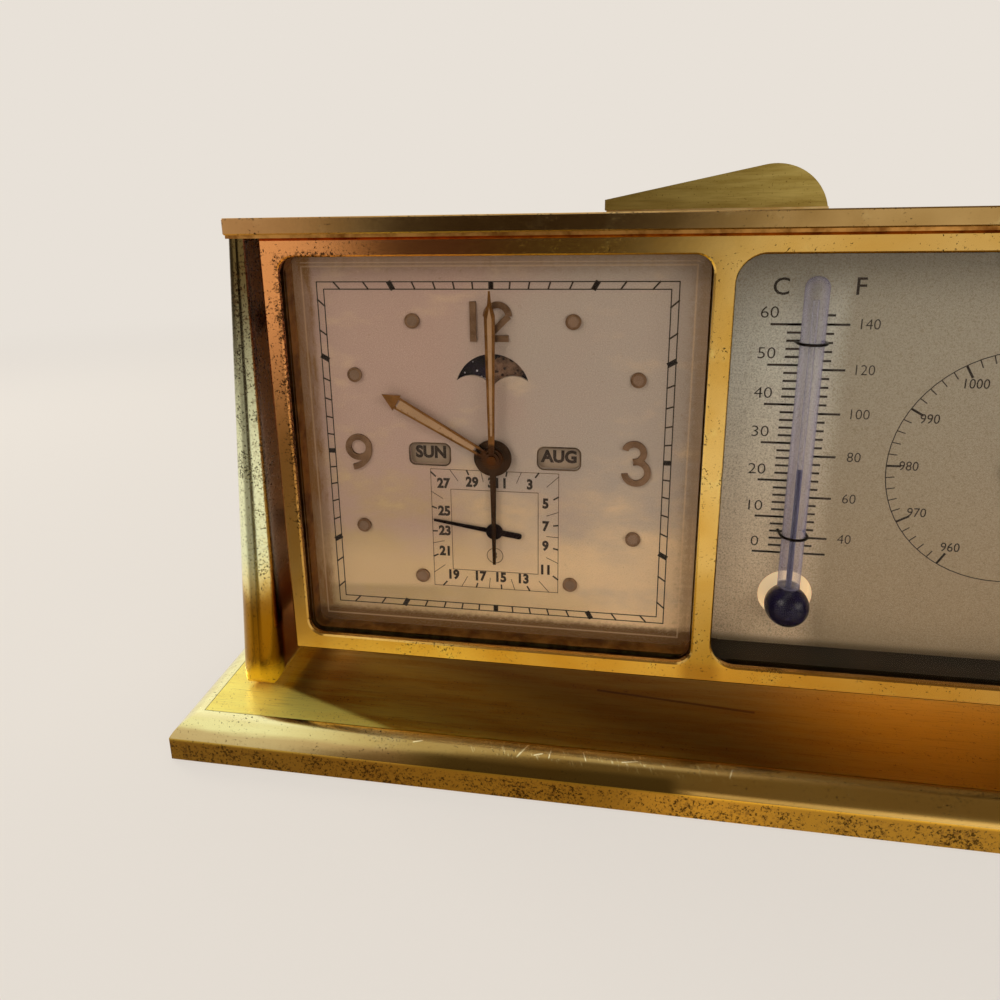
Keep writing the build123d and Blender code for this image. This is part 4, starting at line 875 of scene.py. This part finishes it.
class Growth(Net):
    # a geometry tree with named inputs, which ends in copies of one shape
    def __init__(self, name, **sizes):
        super().__init__(bpy.data.node_groups.new(name, "GeometryNodeTree"))
        sockets = self.tree.interface
        sockets.new_socket("Geometry", in_out="OUTPUT", socket_type="NodeSocketGeometry")
        for size, kind in sizes.items():
            sockets.new_socket(size, in_out="INPUT", socket_type="NodeSocket" + kind)
        group = self.tree.nodes.new("NodeGroupInput")
        self.given = {size: Signal(self, group.outputs[size]) for size in sizes}

    def bar(self, x, y, z):
        return self.node("GeometryNodeMeshCube", None, {"Size": self.vector(x, y, z)})

    def spread(self, **inputs):
        # a copy of the shape on each point, realized and painted
        copies = self.node("GeometryNodeInstanceOnPoints", None, inputs)
        solid = self.node("GeometryNodeRealizeInstances", None, (copies,))
        paint = {"Geometry": solid, "Material": self.given["Material"]}
        painted = self.node("GeometryNodeSetMaterial", None, paint)
        result = self.tree.nodes.new("NodeGroupOutput")
        self.tree.links.new(painted.socket, result.inputs[0])
        return self.tree


def makeMarksTree():
    # bars round a circle or a square, each pointing outwards
    made = Growth("dialMarks", Count="Int", Start="Float", Step="Float", Radius="Float", Length="Float",
                  Width="Float", Thick="Float", Square="Float", Material="Material")
    given = made.given
    angle = made.sum("MULTIPLY_ADD", made.node("GeometryNodeInputIndex"), given["Step"], given["Start"])
    across, upward = made.sum("SINE", angle), made.sum("COSINE", angle)
    stretch = made.sum("POWER", 1.0 / abs(across).most(abs(upward)), given["Square"])
    reach = stretch * given["Radius"]
    place = made.vector(across * reach, 0.0, upward * reach)
    line = made.node("GeometryNodeMeshLine", None, {"Count": given["Count"]})
    points = made.node("GeometryNodeSetPosition", None, {"Geometry": line, "Position": place})
    turn = made.node("FunctionNodeEulerToRotation", None, (made.vector(0.0, angle),))
    return made.spread(
        Points=points, Instance=made.bar(given["Width"], given["Thick"], given["Length"]),
        Rotation=turn, Scale=made.vector(1.0, 1.0, stretch))


def makeLadderTree():
    # level bars at an even pitch, one above another
    made = Growth("scaleLadder", Count="Int", Pitch="Float", Length="Float", Width="Float", Thick="Float",
                  Material="Material")
    given = made.given
    steps = {"Count": given["Count"], "Offset": made.vector(0.0, 0.0, given["Pitch"])}
    return made.spread(
        Points=made.node("GeometryNodeMeshLine", None, steps),
        Instance=made.bar(given["Length"], given["Thick"], given["Width"]))


def makeStarsTree():
    # small six-sided stars scattered over a round sky
    made = Growth("starField", Radius="Float", Density="Float", Star="Float", Thick="Float", Seed="Int",
                  Material="Material")
    given = made.given
    sky = made.node("GeometryNodeMeshCircle", {"fill_type": "NGON"}, {
        "Vertices": 32, "Radius": given["Radius"]})
    flecks = made.node("GeometryNodeDistributePointsOnFaces", None, {
        "Mesh": sky, "Density": given["Density"], "Seed": given["Seed"]})
    star = made.node("GeometryNodeMeshCylinder", None, {
        "Vertices": 6, "Radius": given["Star"], "Depth": given["Thick"]})
    sizes = {2: 0.45, 3: 1.3, "Seed": given["Seed"]}
    size = made.node("FunctionNodeRandomValue", {"data_type": "FLOAT"}, sizes, 1)
    return made.spread(Points=flecks, Instance=star, Scale=size)


def grow(bm, matrix, tree, material, sizes):
    # runs a tree with these sizes and adds its plain mesh
    holder = bpy.data.objects.new("holder", bpy.data.meshes.new("holder"))
    bpy.context.scene.collection.objects.link(holder)
    modifier = holder.modifiers.new("grow", "NODES")
    modifier.node_group = tree
    sockets = {item.name: item.identifier for item in tree.interface.items_tree if item.in_out == "INPUT"}
    for name, value in dict(sizes, Material=material).items():
        modifier[sockets[name]] = value
    mesh = evaluated(holder)
    holder.modifiers.remove(modifier)
    bpy.data.objects.remove(holder)
    addMesh(bm, mesh, matrix)


marksTree = makeMarksTree()
ladderTree = makeLadderTree()
starsTree = makeStarsTree()


def marks(bm, matrix, count, start, step, radius, length, width, thick=inkDepth, square=0.0, material=ink):
    grow(bm, matrix, marksTree, material, {
        "Count": count, "Start": math.radians(start), "Step": math.radians(step), "Radius": radius * mm,
        "Length": length * mm, "Width": width * mm, "Thick": thick * mm, "Square": square})


def ladder(bm, matrix, count, pitch, length, width):
    grow(bm, matrix, ladderTree, ink, {
        "Count": count, "Pitch": pitch * mm, "Length": length * mm, "Width": width * mm,
        "Thick": inkDepth * mm})


# Printing on the clock dial

dialPrint = {
    "trackOuter": 28.0, "trackInner": 26.7, "line": 0.17, "tick": 0.25, "fiveTick": 0.8,
    "date": (0.0, -13.07), "dateInner": (0.0, -13.2), "dateOuterHalf": 10.6, "dateInnerHalf": 7.3,
    "dateLine": 0.11, "numberHalf": 8.45, "number": {"size": 2.3, "width": 0.9, "weight": 0.11},
    "oddTick": (0.9, 0.26), "evenTick": (2.0, 0.1),
    "ringSpot": (0.0, -17.5), "ringRadius": 1.4, "ringLine": 0.12,
    "ringNumber": {"text": "8", "size": 1.7, "width": 0.9, "weight": 0.02},
}


def printDial():
    y = dialY - inkDepth / 2
    bm = bmesh.new()
    outer, inner, line = dialPrint["trackOuter"], dialPrint["trackInner"], dialPrint["line"]
    halfway, deep = (outer + inner) / 2, outer - inner
    for count, width in ((60, dialPrint["tick"]), (12, dialPrint["fiveTick"])):
        marks(bm, at(dialX, y, dialZ), count, 0, 360 / count, halfway, deep, width, square=1.0)
    for half in (outer, inner + line):
        printedLoop(bm, dialX, dialZ, half, line, dialY)
    dateX, dateZ = dialX + dialPrint["date"][0], dialZ + dialPrint["date"][1]
    half = dialPrint["dateOuterHalf"]
    day = 360 / 31
    for count, start, (tick, wide) in ((16, day, dialPrint["oddTick"]), (15, 2 * day, dialPrint["evenTick"])):
        marks(bm, at(dateX, y, dateZ), count, start, 2 * day, half - tick / 2, tick, wide, square=1.0)
    for number in range(1, 32, 2):
        x, z = onSquare(number * day, dialPrint["numberHalf"])
        words(bm, at(dateX + x, y, dateZ + z), str(number), **dialPrint["number"])
    finishPiece(bm, "dial_print", ink, "case")
    bm = bmesh.new()
    innerX, innerZ = dialPrint["dateInner"]
    ringX, ringZ = dialPrint["ringSpot"]
    line = dialPrint["dateLine"]
    printedLoop(bm, dateX, dateZ, half, line, dialY)
    printedLoop(bm, dialX + innerX, dialZ + innerZ, dialPrint["dateInnerHalf"], line, dialY)
    printedLoop(bm, dialX + ringX, dialZ + ringZ, dialPrint["ringRadius"], dialPrint["ringLine"], dialY, 8)
    words(bm, at(dialX + ringX, y, dialZ + ringZ), **dialPrint["ringNumber"])
    finishPiece(bm, "dial_fine_print", inkFaint, "case")


windowTrim = {
    "places": {"day": -10.55, "month": 10.55}, "wide": 6.6, "high": 3.5, "round": 0.9, "rim": 0.24,
    "proud": 0.12,
}


def makeWindowTrim():
    # a raised, bevelled rim round the day window and the month window
    wide, high, radius = windowTrim["wide"], windowTrim["high"], windowTrim["round"]
    rim, proud = windowTrim["rim"], windowTrim["proud"]
    steps = ((2 * rim, 0.0), (1.5 * rim, proud), (0.9 * rim, proud), (0.0, 0.0))
    for name, x in windowTrim["places"].items():
        bm = bmesh.new()
        loft(bm, [roundLoop(dialX + x, dialZ, wide + more, high + more, radius + more / 2, dialY - up)
                  for more, up in steps])
        finishPiece(bm, name + "_window_rim", windowMetal, "case", True)


# Names on the discs behind the dial, and the sky on the moon disc

discPrint = {
    "radius": 7.55, "lettering": {"size": 2.75, "width": 0.97, "weight": 0.13},
    "days": ("SUN", "MON", "TUE", "WED", "THU", "FRI", "SAT"),
    "months": ("JAN", "FEB", "MAR", "APR", "MAY", "JUN", "JUL", "AUG", "SEP", "OCT", "NOV", "DEC"),
}


def printDisc(node, names, first, side):
    # names stand upright as they pass the window on the given side of the disc
    mid = middle(node) / mm
    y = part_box(node)[0].y / mm - inkDepth / 2
    bm = bmesh.new()
    for n, name in enumerate(names):
        spin = turned(360 / len(names) * (n - first))
        place = at(mid.x, y, mid.z) @ spin @ at(side * discPrint["radius"], 0, 0)
        words(bm, place, name, **discPrint["lettering"])
    finishPiece(bm, node + "_names", ink, node)


def makeMoon():
    # two round moons opposite each other and a scatter of stars on the night disc
    mid = middle("moon_disc") / mm
    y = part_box("moon_disc")[0].y / mm
    bm = bmesh.new()
    for angle in moonLook["angles"]:
        x, z = around(angle, moonLook["away"])
        round36 = (around(n * 10, moonLook["radius"]) for n in range(36))
        prism(bm, [(mid.x + x + px, mid.z + z + pz) for px, pz in round36], y - moonLook["proud"], y)
    finishPiece(bm, "moon_faces", moonPaint, "moon_disc")
    bm = bmesh.new()
    thick = moonLook["starThick"]
    grow(bm, at(mid.x, y - thick / 2, mid.z) @ turned(90, "X"), starsTree, starPaint, {
        "Radius": moonLook["skyRadius"] * mm, "Density": moonLook["starsPerMm"] / mm / mm,
        "Star": moonLook["star"] * mm, "Thick": thick * mm, "Seed": 7})
    finishPiece(bm, "moon_stars", starPaint, "moon_disc")


printDial()
makeWindowTrim()
printDisc("day_disc", discPrint["days"], 0, 1)
printDisc("month_disc", discPrint["months"], 7, -1)
makeMoon()
print("dial printed")


# Cream filling in the hands and the round markers

handFill = {
    "hour": {"angle": 300.0, "start": 3.4, "end": 17.4, "rootHalf": 0.36, "endHalf": 0.72, "proud": 0.03},
    "minute": {"start": 4.0, "shoulder": 22.4, "end": 24.2, "rootHalf": 0.16, "wideHalf": 0.36,
               "proud": 0.04},
    "sunk": 0.02,
}


def fillHand(name, outline, look, body, matrix):
    bm = bmesh.new()
    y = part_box(name)[0].y / mm
    prism(bm, outline, y - look["proud"], y + handFill["sunk"])
    bm.transform(matrix)
    finishPiece(bm, name + "_fill", lume, body)


def makeHandFills():
    hour, minute = handFill["hour"], handFill["minute"]
    root, end = hour["rootHalf"], hour["endHalf"]
    outline = [(-root, hour["start"]), (-end, hour["end"]), (end, hour["end"]), (root, hour["start"])]
    fillHand("hour_hand", outline, hour, "hour_work", at(dialX, 0, dialZ) @ turned(hour["angle"]))
    root, wide = minute["rootHalf"], minute["wideHalf"]
    outline = [(-root, minute["start"]), (-wide, minute["shoulder"]), (0.0, minute["end"]),
               (wide, minute["shoulder"]), (root, minute["start"])]
    fillHand("minute_hand", outline, minute, "minute_work", at(dialX, 0, dialZ))


dotFill = {"places": ((12.55, 21.9), (22.5, 13.1)), "radius": 0.8, "ahead": 0.35, "half": 0.02}


def makeDotFills():
    y = dialY - dotFill["ahead"]
    bm = bmesh.new()
    ring = [around(n * 15, dotFill["radius"]) for n in range(24)]
    for across, up in dotFill["places"]:
        for x in (dialX - across, dialX + across):
            for z in (dialZ - up, dialZ + up):
                prism(bm, [(x + px, z + pz) for px, pz in ring], y - dotFill["half"], y + dotFill["half"])
    finishPiece(bm, "marker_fills", dotPaint, "case")


makeHandFills()
makeDotFills()


# Printing on the weather plate

thermometerPrint = {
    "zero": 35.9, "tenDegrees": 6.11, "line": 0.34,
    "leftLong": (8.0, 12.35), "leftShort": (10.4, 12.35), "leftNumberX": 7.75, "nilX": 8.3, "numberUp": 1.7,
    "rightX": 15.7, "rightLong": 3.4, "rightShort": 1.3, "rightNumberGap": 2.6,
    "leftNumber": {"size": 2.5, "width": 1.12, "weight": -0.02},
    "rightNumber": {"size": 2.25, "width": 0.95, "weight": -0.02},
    "letterZ": 78.0, "letterX": 9.1, "letterGap": 0.9, "letter": {"size": 3.6, "weight": 0.02},
}


def printThermometer():
    look = thermometerPrint
    y = weatherY - inkDepth / 2
    bm = bmesh.new()
    zero, ten, line = look["zero"], look["tenDegrees"], look["line"]
    for count, step, (x0, x1) in ((7, ten, look["leftLong"]), (31, ten / 5, look["leftShort"])):
        ladder(bm, at((x0 + x1) / 2, y, zero), count, step, x1 - x0, line)
    degree, start, long, short = ten / 18, look["rightX"], look["rightLong"], look["rightShort"]
    # how many bars, the degrees between them, the degrees up to the first, and how long they are
    for count, step, first, bar in ((28, 4, 4, short), (6, 20, 8, long), (1, 1, 0, long)):
        ladder(bm, at(start + bar / 2, y, zero + first * degree), count, degree * step, bar, line)
    for n in range(7):
        across = look["leftNumberX"] if n else look["nilX"]
        words(bm, at(across, y, zero + n * ten + look["numberUp"]), str(10 * n), **look["leftNumber"])
    numberX = start + long + look["rightNumberGap"]
    for n in range(6):
        words(bm, at(numberX, y, zero + (8 + 20 * n) * degree), str(40 + 20 * n), **look["rightNumber"])
    for letter, x in (("C", look["letterX"]), ("F", start + long + look["letterGap"])):
        words(bm, at(x, y, look["letterZ"]), letter, **look["letter"])
    finishPiece(bm, "thermometer_print", ink, "case")


barometerPrint = {
    "ring": 18.0, "ringLine": 0.14, "numberRadius": 14.9, "number": {"size": 2.1, "width": 0.9},
    "tick": (1.2, 0.16), "tenTick": (2.0, 0.34), "tickStep": 6, "numberStep": 30, "start": -150,
}


def printBarometer():
    look = barometerPrint
    y = weatherY - inkDepth / 2
    bm = bmesh.new()
    ring, start = look["ring"], look["start"]
    for tick, step in (("tick", look["tickStep"]), ("tenTick", look["numberStep"])):
        length, width = look[tick]
        count = int(-2 * start / step) + 1
        marks(bm, at(baroX, y, dialZ), count, start, step, ring - length / 2, length, width)
    printedLoop(bm, baroX, dialZ, ring + look["ringLine"], look["ringLine"], weatherY, 16)
    for n in range(11):
        x, z = around(start + look["numberStep"] * n, look["numberRadius"])
        words(bm, at(baroX + x, y, dialZ + z), str(960 + 10 * n), **look["number"])
    finishPiece(bm, "barometer_print", ink, "case")


printThermometer()
printBarometer()
print("weather plate printed")


# Compass card

compassPrint = {
    "axis": (-0.193398, 0, 0.98112), "pin": (-1.4, 0, 93.8558), "cardBelow": 2.5,
    "ring": 6.3, "tick": (0.7, 0.08), "longTick": (1.2, 0.2), "letterRadius": 4.6,
    "letter": {"size": 1.7, "weight": 0.03},
}


def printCompass():
    axis = Vector(compassPrint["axis"])
    top = Vector(compassPrint["pin"]) - axis * compassPrint["cardBelow"]
    basis = Matrix((Vector((axis.z, 0, -axis.x)), -axis, Vector((0, 1, 0)))).transposed().to_4x4()
    card = at(*top) @ basis @ at(0, -inkDepth / 2, 0)
    bm = bmesh.new()
    for count, (length, width) in ((36, compassPrint["tick"]), (8, compassPrint["longTick"])):
        marks(bm, card, count, 0, 360 / count, compassPrint["ring"] - length / 2, length, width)
    for n, letter in enumerate("NESW"):
        x, z = around(90 * n, compassPrint["letterRadius"])
        words(bm, card @ at(x, 0, z), letter, **compassPrint["letter"])
    finishPiece(bm, "compass_print", ink, "compass")


printCompass()


# Ribs on the two setting knobs, and arrows on the rear cover

knobRibs = {"count": 40, "radius": 3.1, "length": 6.5, "proud": 0.16, "width": 0.24, "inset": 0.9}


def nodeAxis(node):
    # middle of the rearmost ring of a knob's mesh, across and up
    spots = [v.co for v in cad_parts[node].data.vertices]
    reach = max(spot.y for spot in spots)
    ring = [spot for spot in spots if spot.y > reach - 0.0001]
    xs, zs = [spot.x for spot in ring], [spot.z for spot in ring]
    return (min(xs) + max(xs)) / 2 / mm, (min(zs) + max(zs)) / 2 / mm


knobSpots = {node: nodeAxis(node) for node in ("time_set_knob", "alarm_set_knob")}


def ribKnob(node, body):
    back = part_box(node)[1].y / mm
    length = knobRibs["length"] - 2 * knobRibs["inset"]
    x, z = knobSpots[node]
    metal = bpy.data.materials[node + "_turned"]
    bm = bmesh.new()
    marks(bm, at(x, back - knobRibs["length"] / 2, z), knobRibs["count"], 0, 360 / knobRibs["count"],
          knobRibs["radius"], knobRibs["proud"] * 2, knobRibs["width"], length, material=metal)
    finishPiece(bm, node + "_ribs", metal, body)


ribKnob("time_set_knob", "minute_work")
ribKnob("alarm_set_knob", "alarm_set_knob")

arrowLook = {
    "steps": 20, "width": 0.35, "proud": 0.04, "headHalf": 0.8, "headLong": 140.0,
    "keys": {"radius": 9.2, "time_winding_key": (200, 330), "alarm_winding_key": (30, 160)},
    "knobs": {"radius": 4.6, "time_set_knob": (-60, 60), "alarm_set_knob": (-60, 60)},
}


def arrowArc(bm, x, z, radius, start, end, y):
    # a bent arrow round a control, as a thin raised band with a pointed end
    steps, half, top = arrowLook["steps"], arrowLook["width"] / 2, y + arrowLook["proud"]
    corners = ((radius - half, y), (radius + half, y), (radius + half, top), (radius - half, top))
    loops = []
    for n in range(steps + 1):
        angle = start + (end - start) * n / steps
        spots = [(around(angle, reach), up) for reach, up in corners]
        loops.append([(x + px, up, z + pz) for (px, pz), up in spots])
    loft(bm, loops, closed=False)
    tip = around(end + arrowLook["headLong"] / radius, radius)
    outline = [around(end, radius - arrowLook["headHalf"]), around(end, radius + arrowLook["headHalf"]), tip]
    prism(bm, [(x + px, z + pz) for px, pz in outline], y, top)


def makeArrows():
    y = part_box("rear_cover")[1].y / mm
    bm = bmesh.new()
    for group in ("keys", "knobs"):
        arcs = dict(arrowLook[group])
        radius = arcs.pop("radius")
        for node, (start, end) in arcs.items():  # clock angles
            x, z = knobSpots.get(node, (middle(node).x / mm, middle(node).z / mm))
            arrowArc(bm, x, z, radius, start, end, y)
    finishPiece(bm, "rear_arrows", ink, "case")


makeArrows()
print("rear dressed")


# Floor, backdrop light and lamps

stageLook = {
    "pale": tint(232, 225, 216), "floorSize": 3.0, "fadeFrom": 0.25, "fadeTo": 0.7, "plain": 0.8,
    "diffuseLevel": 0.42,
}


def makeFloor():
    bm = bmesh.new()
    size = stageLook["floorSize"]
    bm.faces.new([bm.verts.new((sx * size, sy * size, 0)) for sx, sy in ((-1, -1), (1, -1), (1, 1), (-1, 1))])
    mesh = bpy.data.meshes.new("floor")
    bm.to_mesh(mesh)
    bm.free()
    floor = bpy.data.objects.new("floor", mesh)
    bpy.context.scene.collection.objects.link(floor)
    made = Finish(bpy.data.materials.new("floor_pale"))
    reach = made.length(made.node("ShaderNodeTexCoord", output="Object"))
    camera = made.node("ShaderNodeLightPath", output="Is Camera Ray")
    plain = stageLook["plain"]
    fade = plain + reach.ramp(stageLook["fadeFrom"], stageLook["fadeTo"]) * (1.0 - plain)
    matt = made.node("ShaderNodeBsdfDiffuse", None, (stageLook["pale"],))
    even = made.node("ShaderNodeEmission", None, (stageLook["pale"], 1.0))
    mesh.materials.append(made.close(made.mixed(fade * camera, matt, even)))
    floor.visible_glossy = False


worldLook = {
    "top": (255, 250, 240), "side": (244, 238, 216), "dark": (62, 50, 36), "dusk": (130, 114, 84),
    "gold": (240, 216, 120), "far": (240, 232, 218),
}


def makeWorld():
    # what metal and glass see: pale above and at the sides, a dark gap straight ahead that is dusky
    # higher up, dim low sides, and a golden glow low in front
    world = bpy.data.worlds.new("studio")
    bpy.context.scene.world = world
    made = Finish(world, worldLook)
    x, y, z = made.axes(made.node("ShaderNodeTexCoord", output="Generated"))
    turn = made.sum("ARCTAN2", x, -y) * (180 / math.pi)
    rise = made.sum("ARCSINE", z) * (180 / math.pi)
    drop = -rise
    rightward = (turn + drop * 0.5).ramp(3.0, 16.0)
    aside = (-turn).ramp(19.5, 23.0).most(rightward * rise.fall(14.0, 34.0))
    behind = abs(turn).ramp(95.0, 130.0)
    farLeft = (-turn).ramp(40.0, 60.0)
    side = made.blend(behind, "side", "far")
    shade = farLeft * drop.ramp(-14.0, -8.0) * drop.fall(4.0, 14.0)
    level = made.layers(
        "dark",
        (rise.ramp(3.0, 20.0), "dusk"),
        (aside, side),
        (shade * 0.85 * (1.0 - behind), "dark"),
        (drop.ramp(6.0, 14.0) * (1.0 - rightward) * (1.0 - farLeft) * 0.7, "dark"),
        (drop.ramp(27.0, 34.0), "gold"),
        (rise.ramp(76.0, 88.0).most(behind * rise.ramp(0.0, 20.0)), "top"))
    camera, through, glossy = [made.node("ShaderNodeLightPath", output="Is %s Ray" % kind)
                               for kind in ("Camera", "Transmission", "Glossy")]
    plain, sight, mirror = [made.node("ShaderNodeBackground", None, pair) for pair in (
        (stageLook["pale"], stageLook["diffuseLevel"]), (stageLook["pale"], 1.0), (level, 1.0))]
    made.close(made.mixed(camera, made.mixed(glossy.most(through), plain, mirror), sight))


lamps = {
    "key": {"place": (-420, -380, 420), "size": 260, "watts": 0.72, "warm": (1, 0.95, 0.88), "glossy": False},
    "fill": {"place": (480, -420, 260), "size": 320, "watts": 0.58, "warm": (1, 0.96, 0.92), "glossy": False},
    "top": {"place": (0, 40, 620), "size": 420, "watts": 0.86, "warm": (1, 0.98, 0.95), "glossy": False},
    "left": {"place": (-460, 150, 260), "size": 160, "watts": 0.9, "warm": (1, 0.97, 0.86), "glossy": True},
    "rear": {"place": (200, 520, 300), "size": 300, "watts": 0.6, "warm": (1, 0.97, 0.93), "glossy": True},
}


lampAim = (0, 0, 50)


def makeLamps():
    target = Vector(lampAim) * mm
    for name, look in lamps.items():
        data = bpy.data.lights.new(name, "AREA")
        data.shape = "SQUARE"
        data.size = look["size"] * mm
        data.energy = look["watts"]
        data.color = look["warm"]
        lamp = bpy.data.objects.new(name, data)
        lamp.location = Vector(look["place"]) * mm
        lamp.rotation_euler = (target - lamp.location).to_track_quat("-Z", "Y").to_euler()
        lamp.visible_glossy = look["glossy"]
        bpy.context.scene.collection.objects.link(lamp)


cameraLook = {
    "place": (-15.53, -122.23, 88.21), "turn": (75.394, 0.842, 9.174), "lens": 25.506, "sensor": 36.0,
    "shift": (0.0057, -0.0961), "near": 0.01, "far": 20.0,
}


def makeCamera():
    data = bpy.data.cameras.new("camera")
    data.sensor_width = cameraLook["sensor"]
    data.lens = cameraLook["lens"]
    data.shift_x, data.shift_y = cameraLook["shift"]
    data.clip_start, data.clip_end = cameraLook["near"], cameraLook["far"]
    camera = bpy.data.objects.new("camera", data)
    camera.location = Vector(cameraLook["place"]) * mm
    camera.rotation_euler = [math.radians(angle) for angle in cameraLook["turn"]]
    bpy.context.scene.collection.objects.link(camera)
    bpy.context.scene.camera = camera


makeFloor()
makeWorld()
makeLamps()
makeCamera()
bpy.context.scene.view_settings.view_transform = "Standard"
print("stage set")
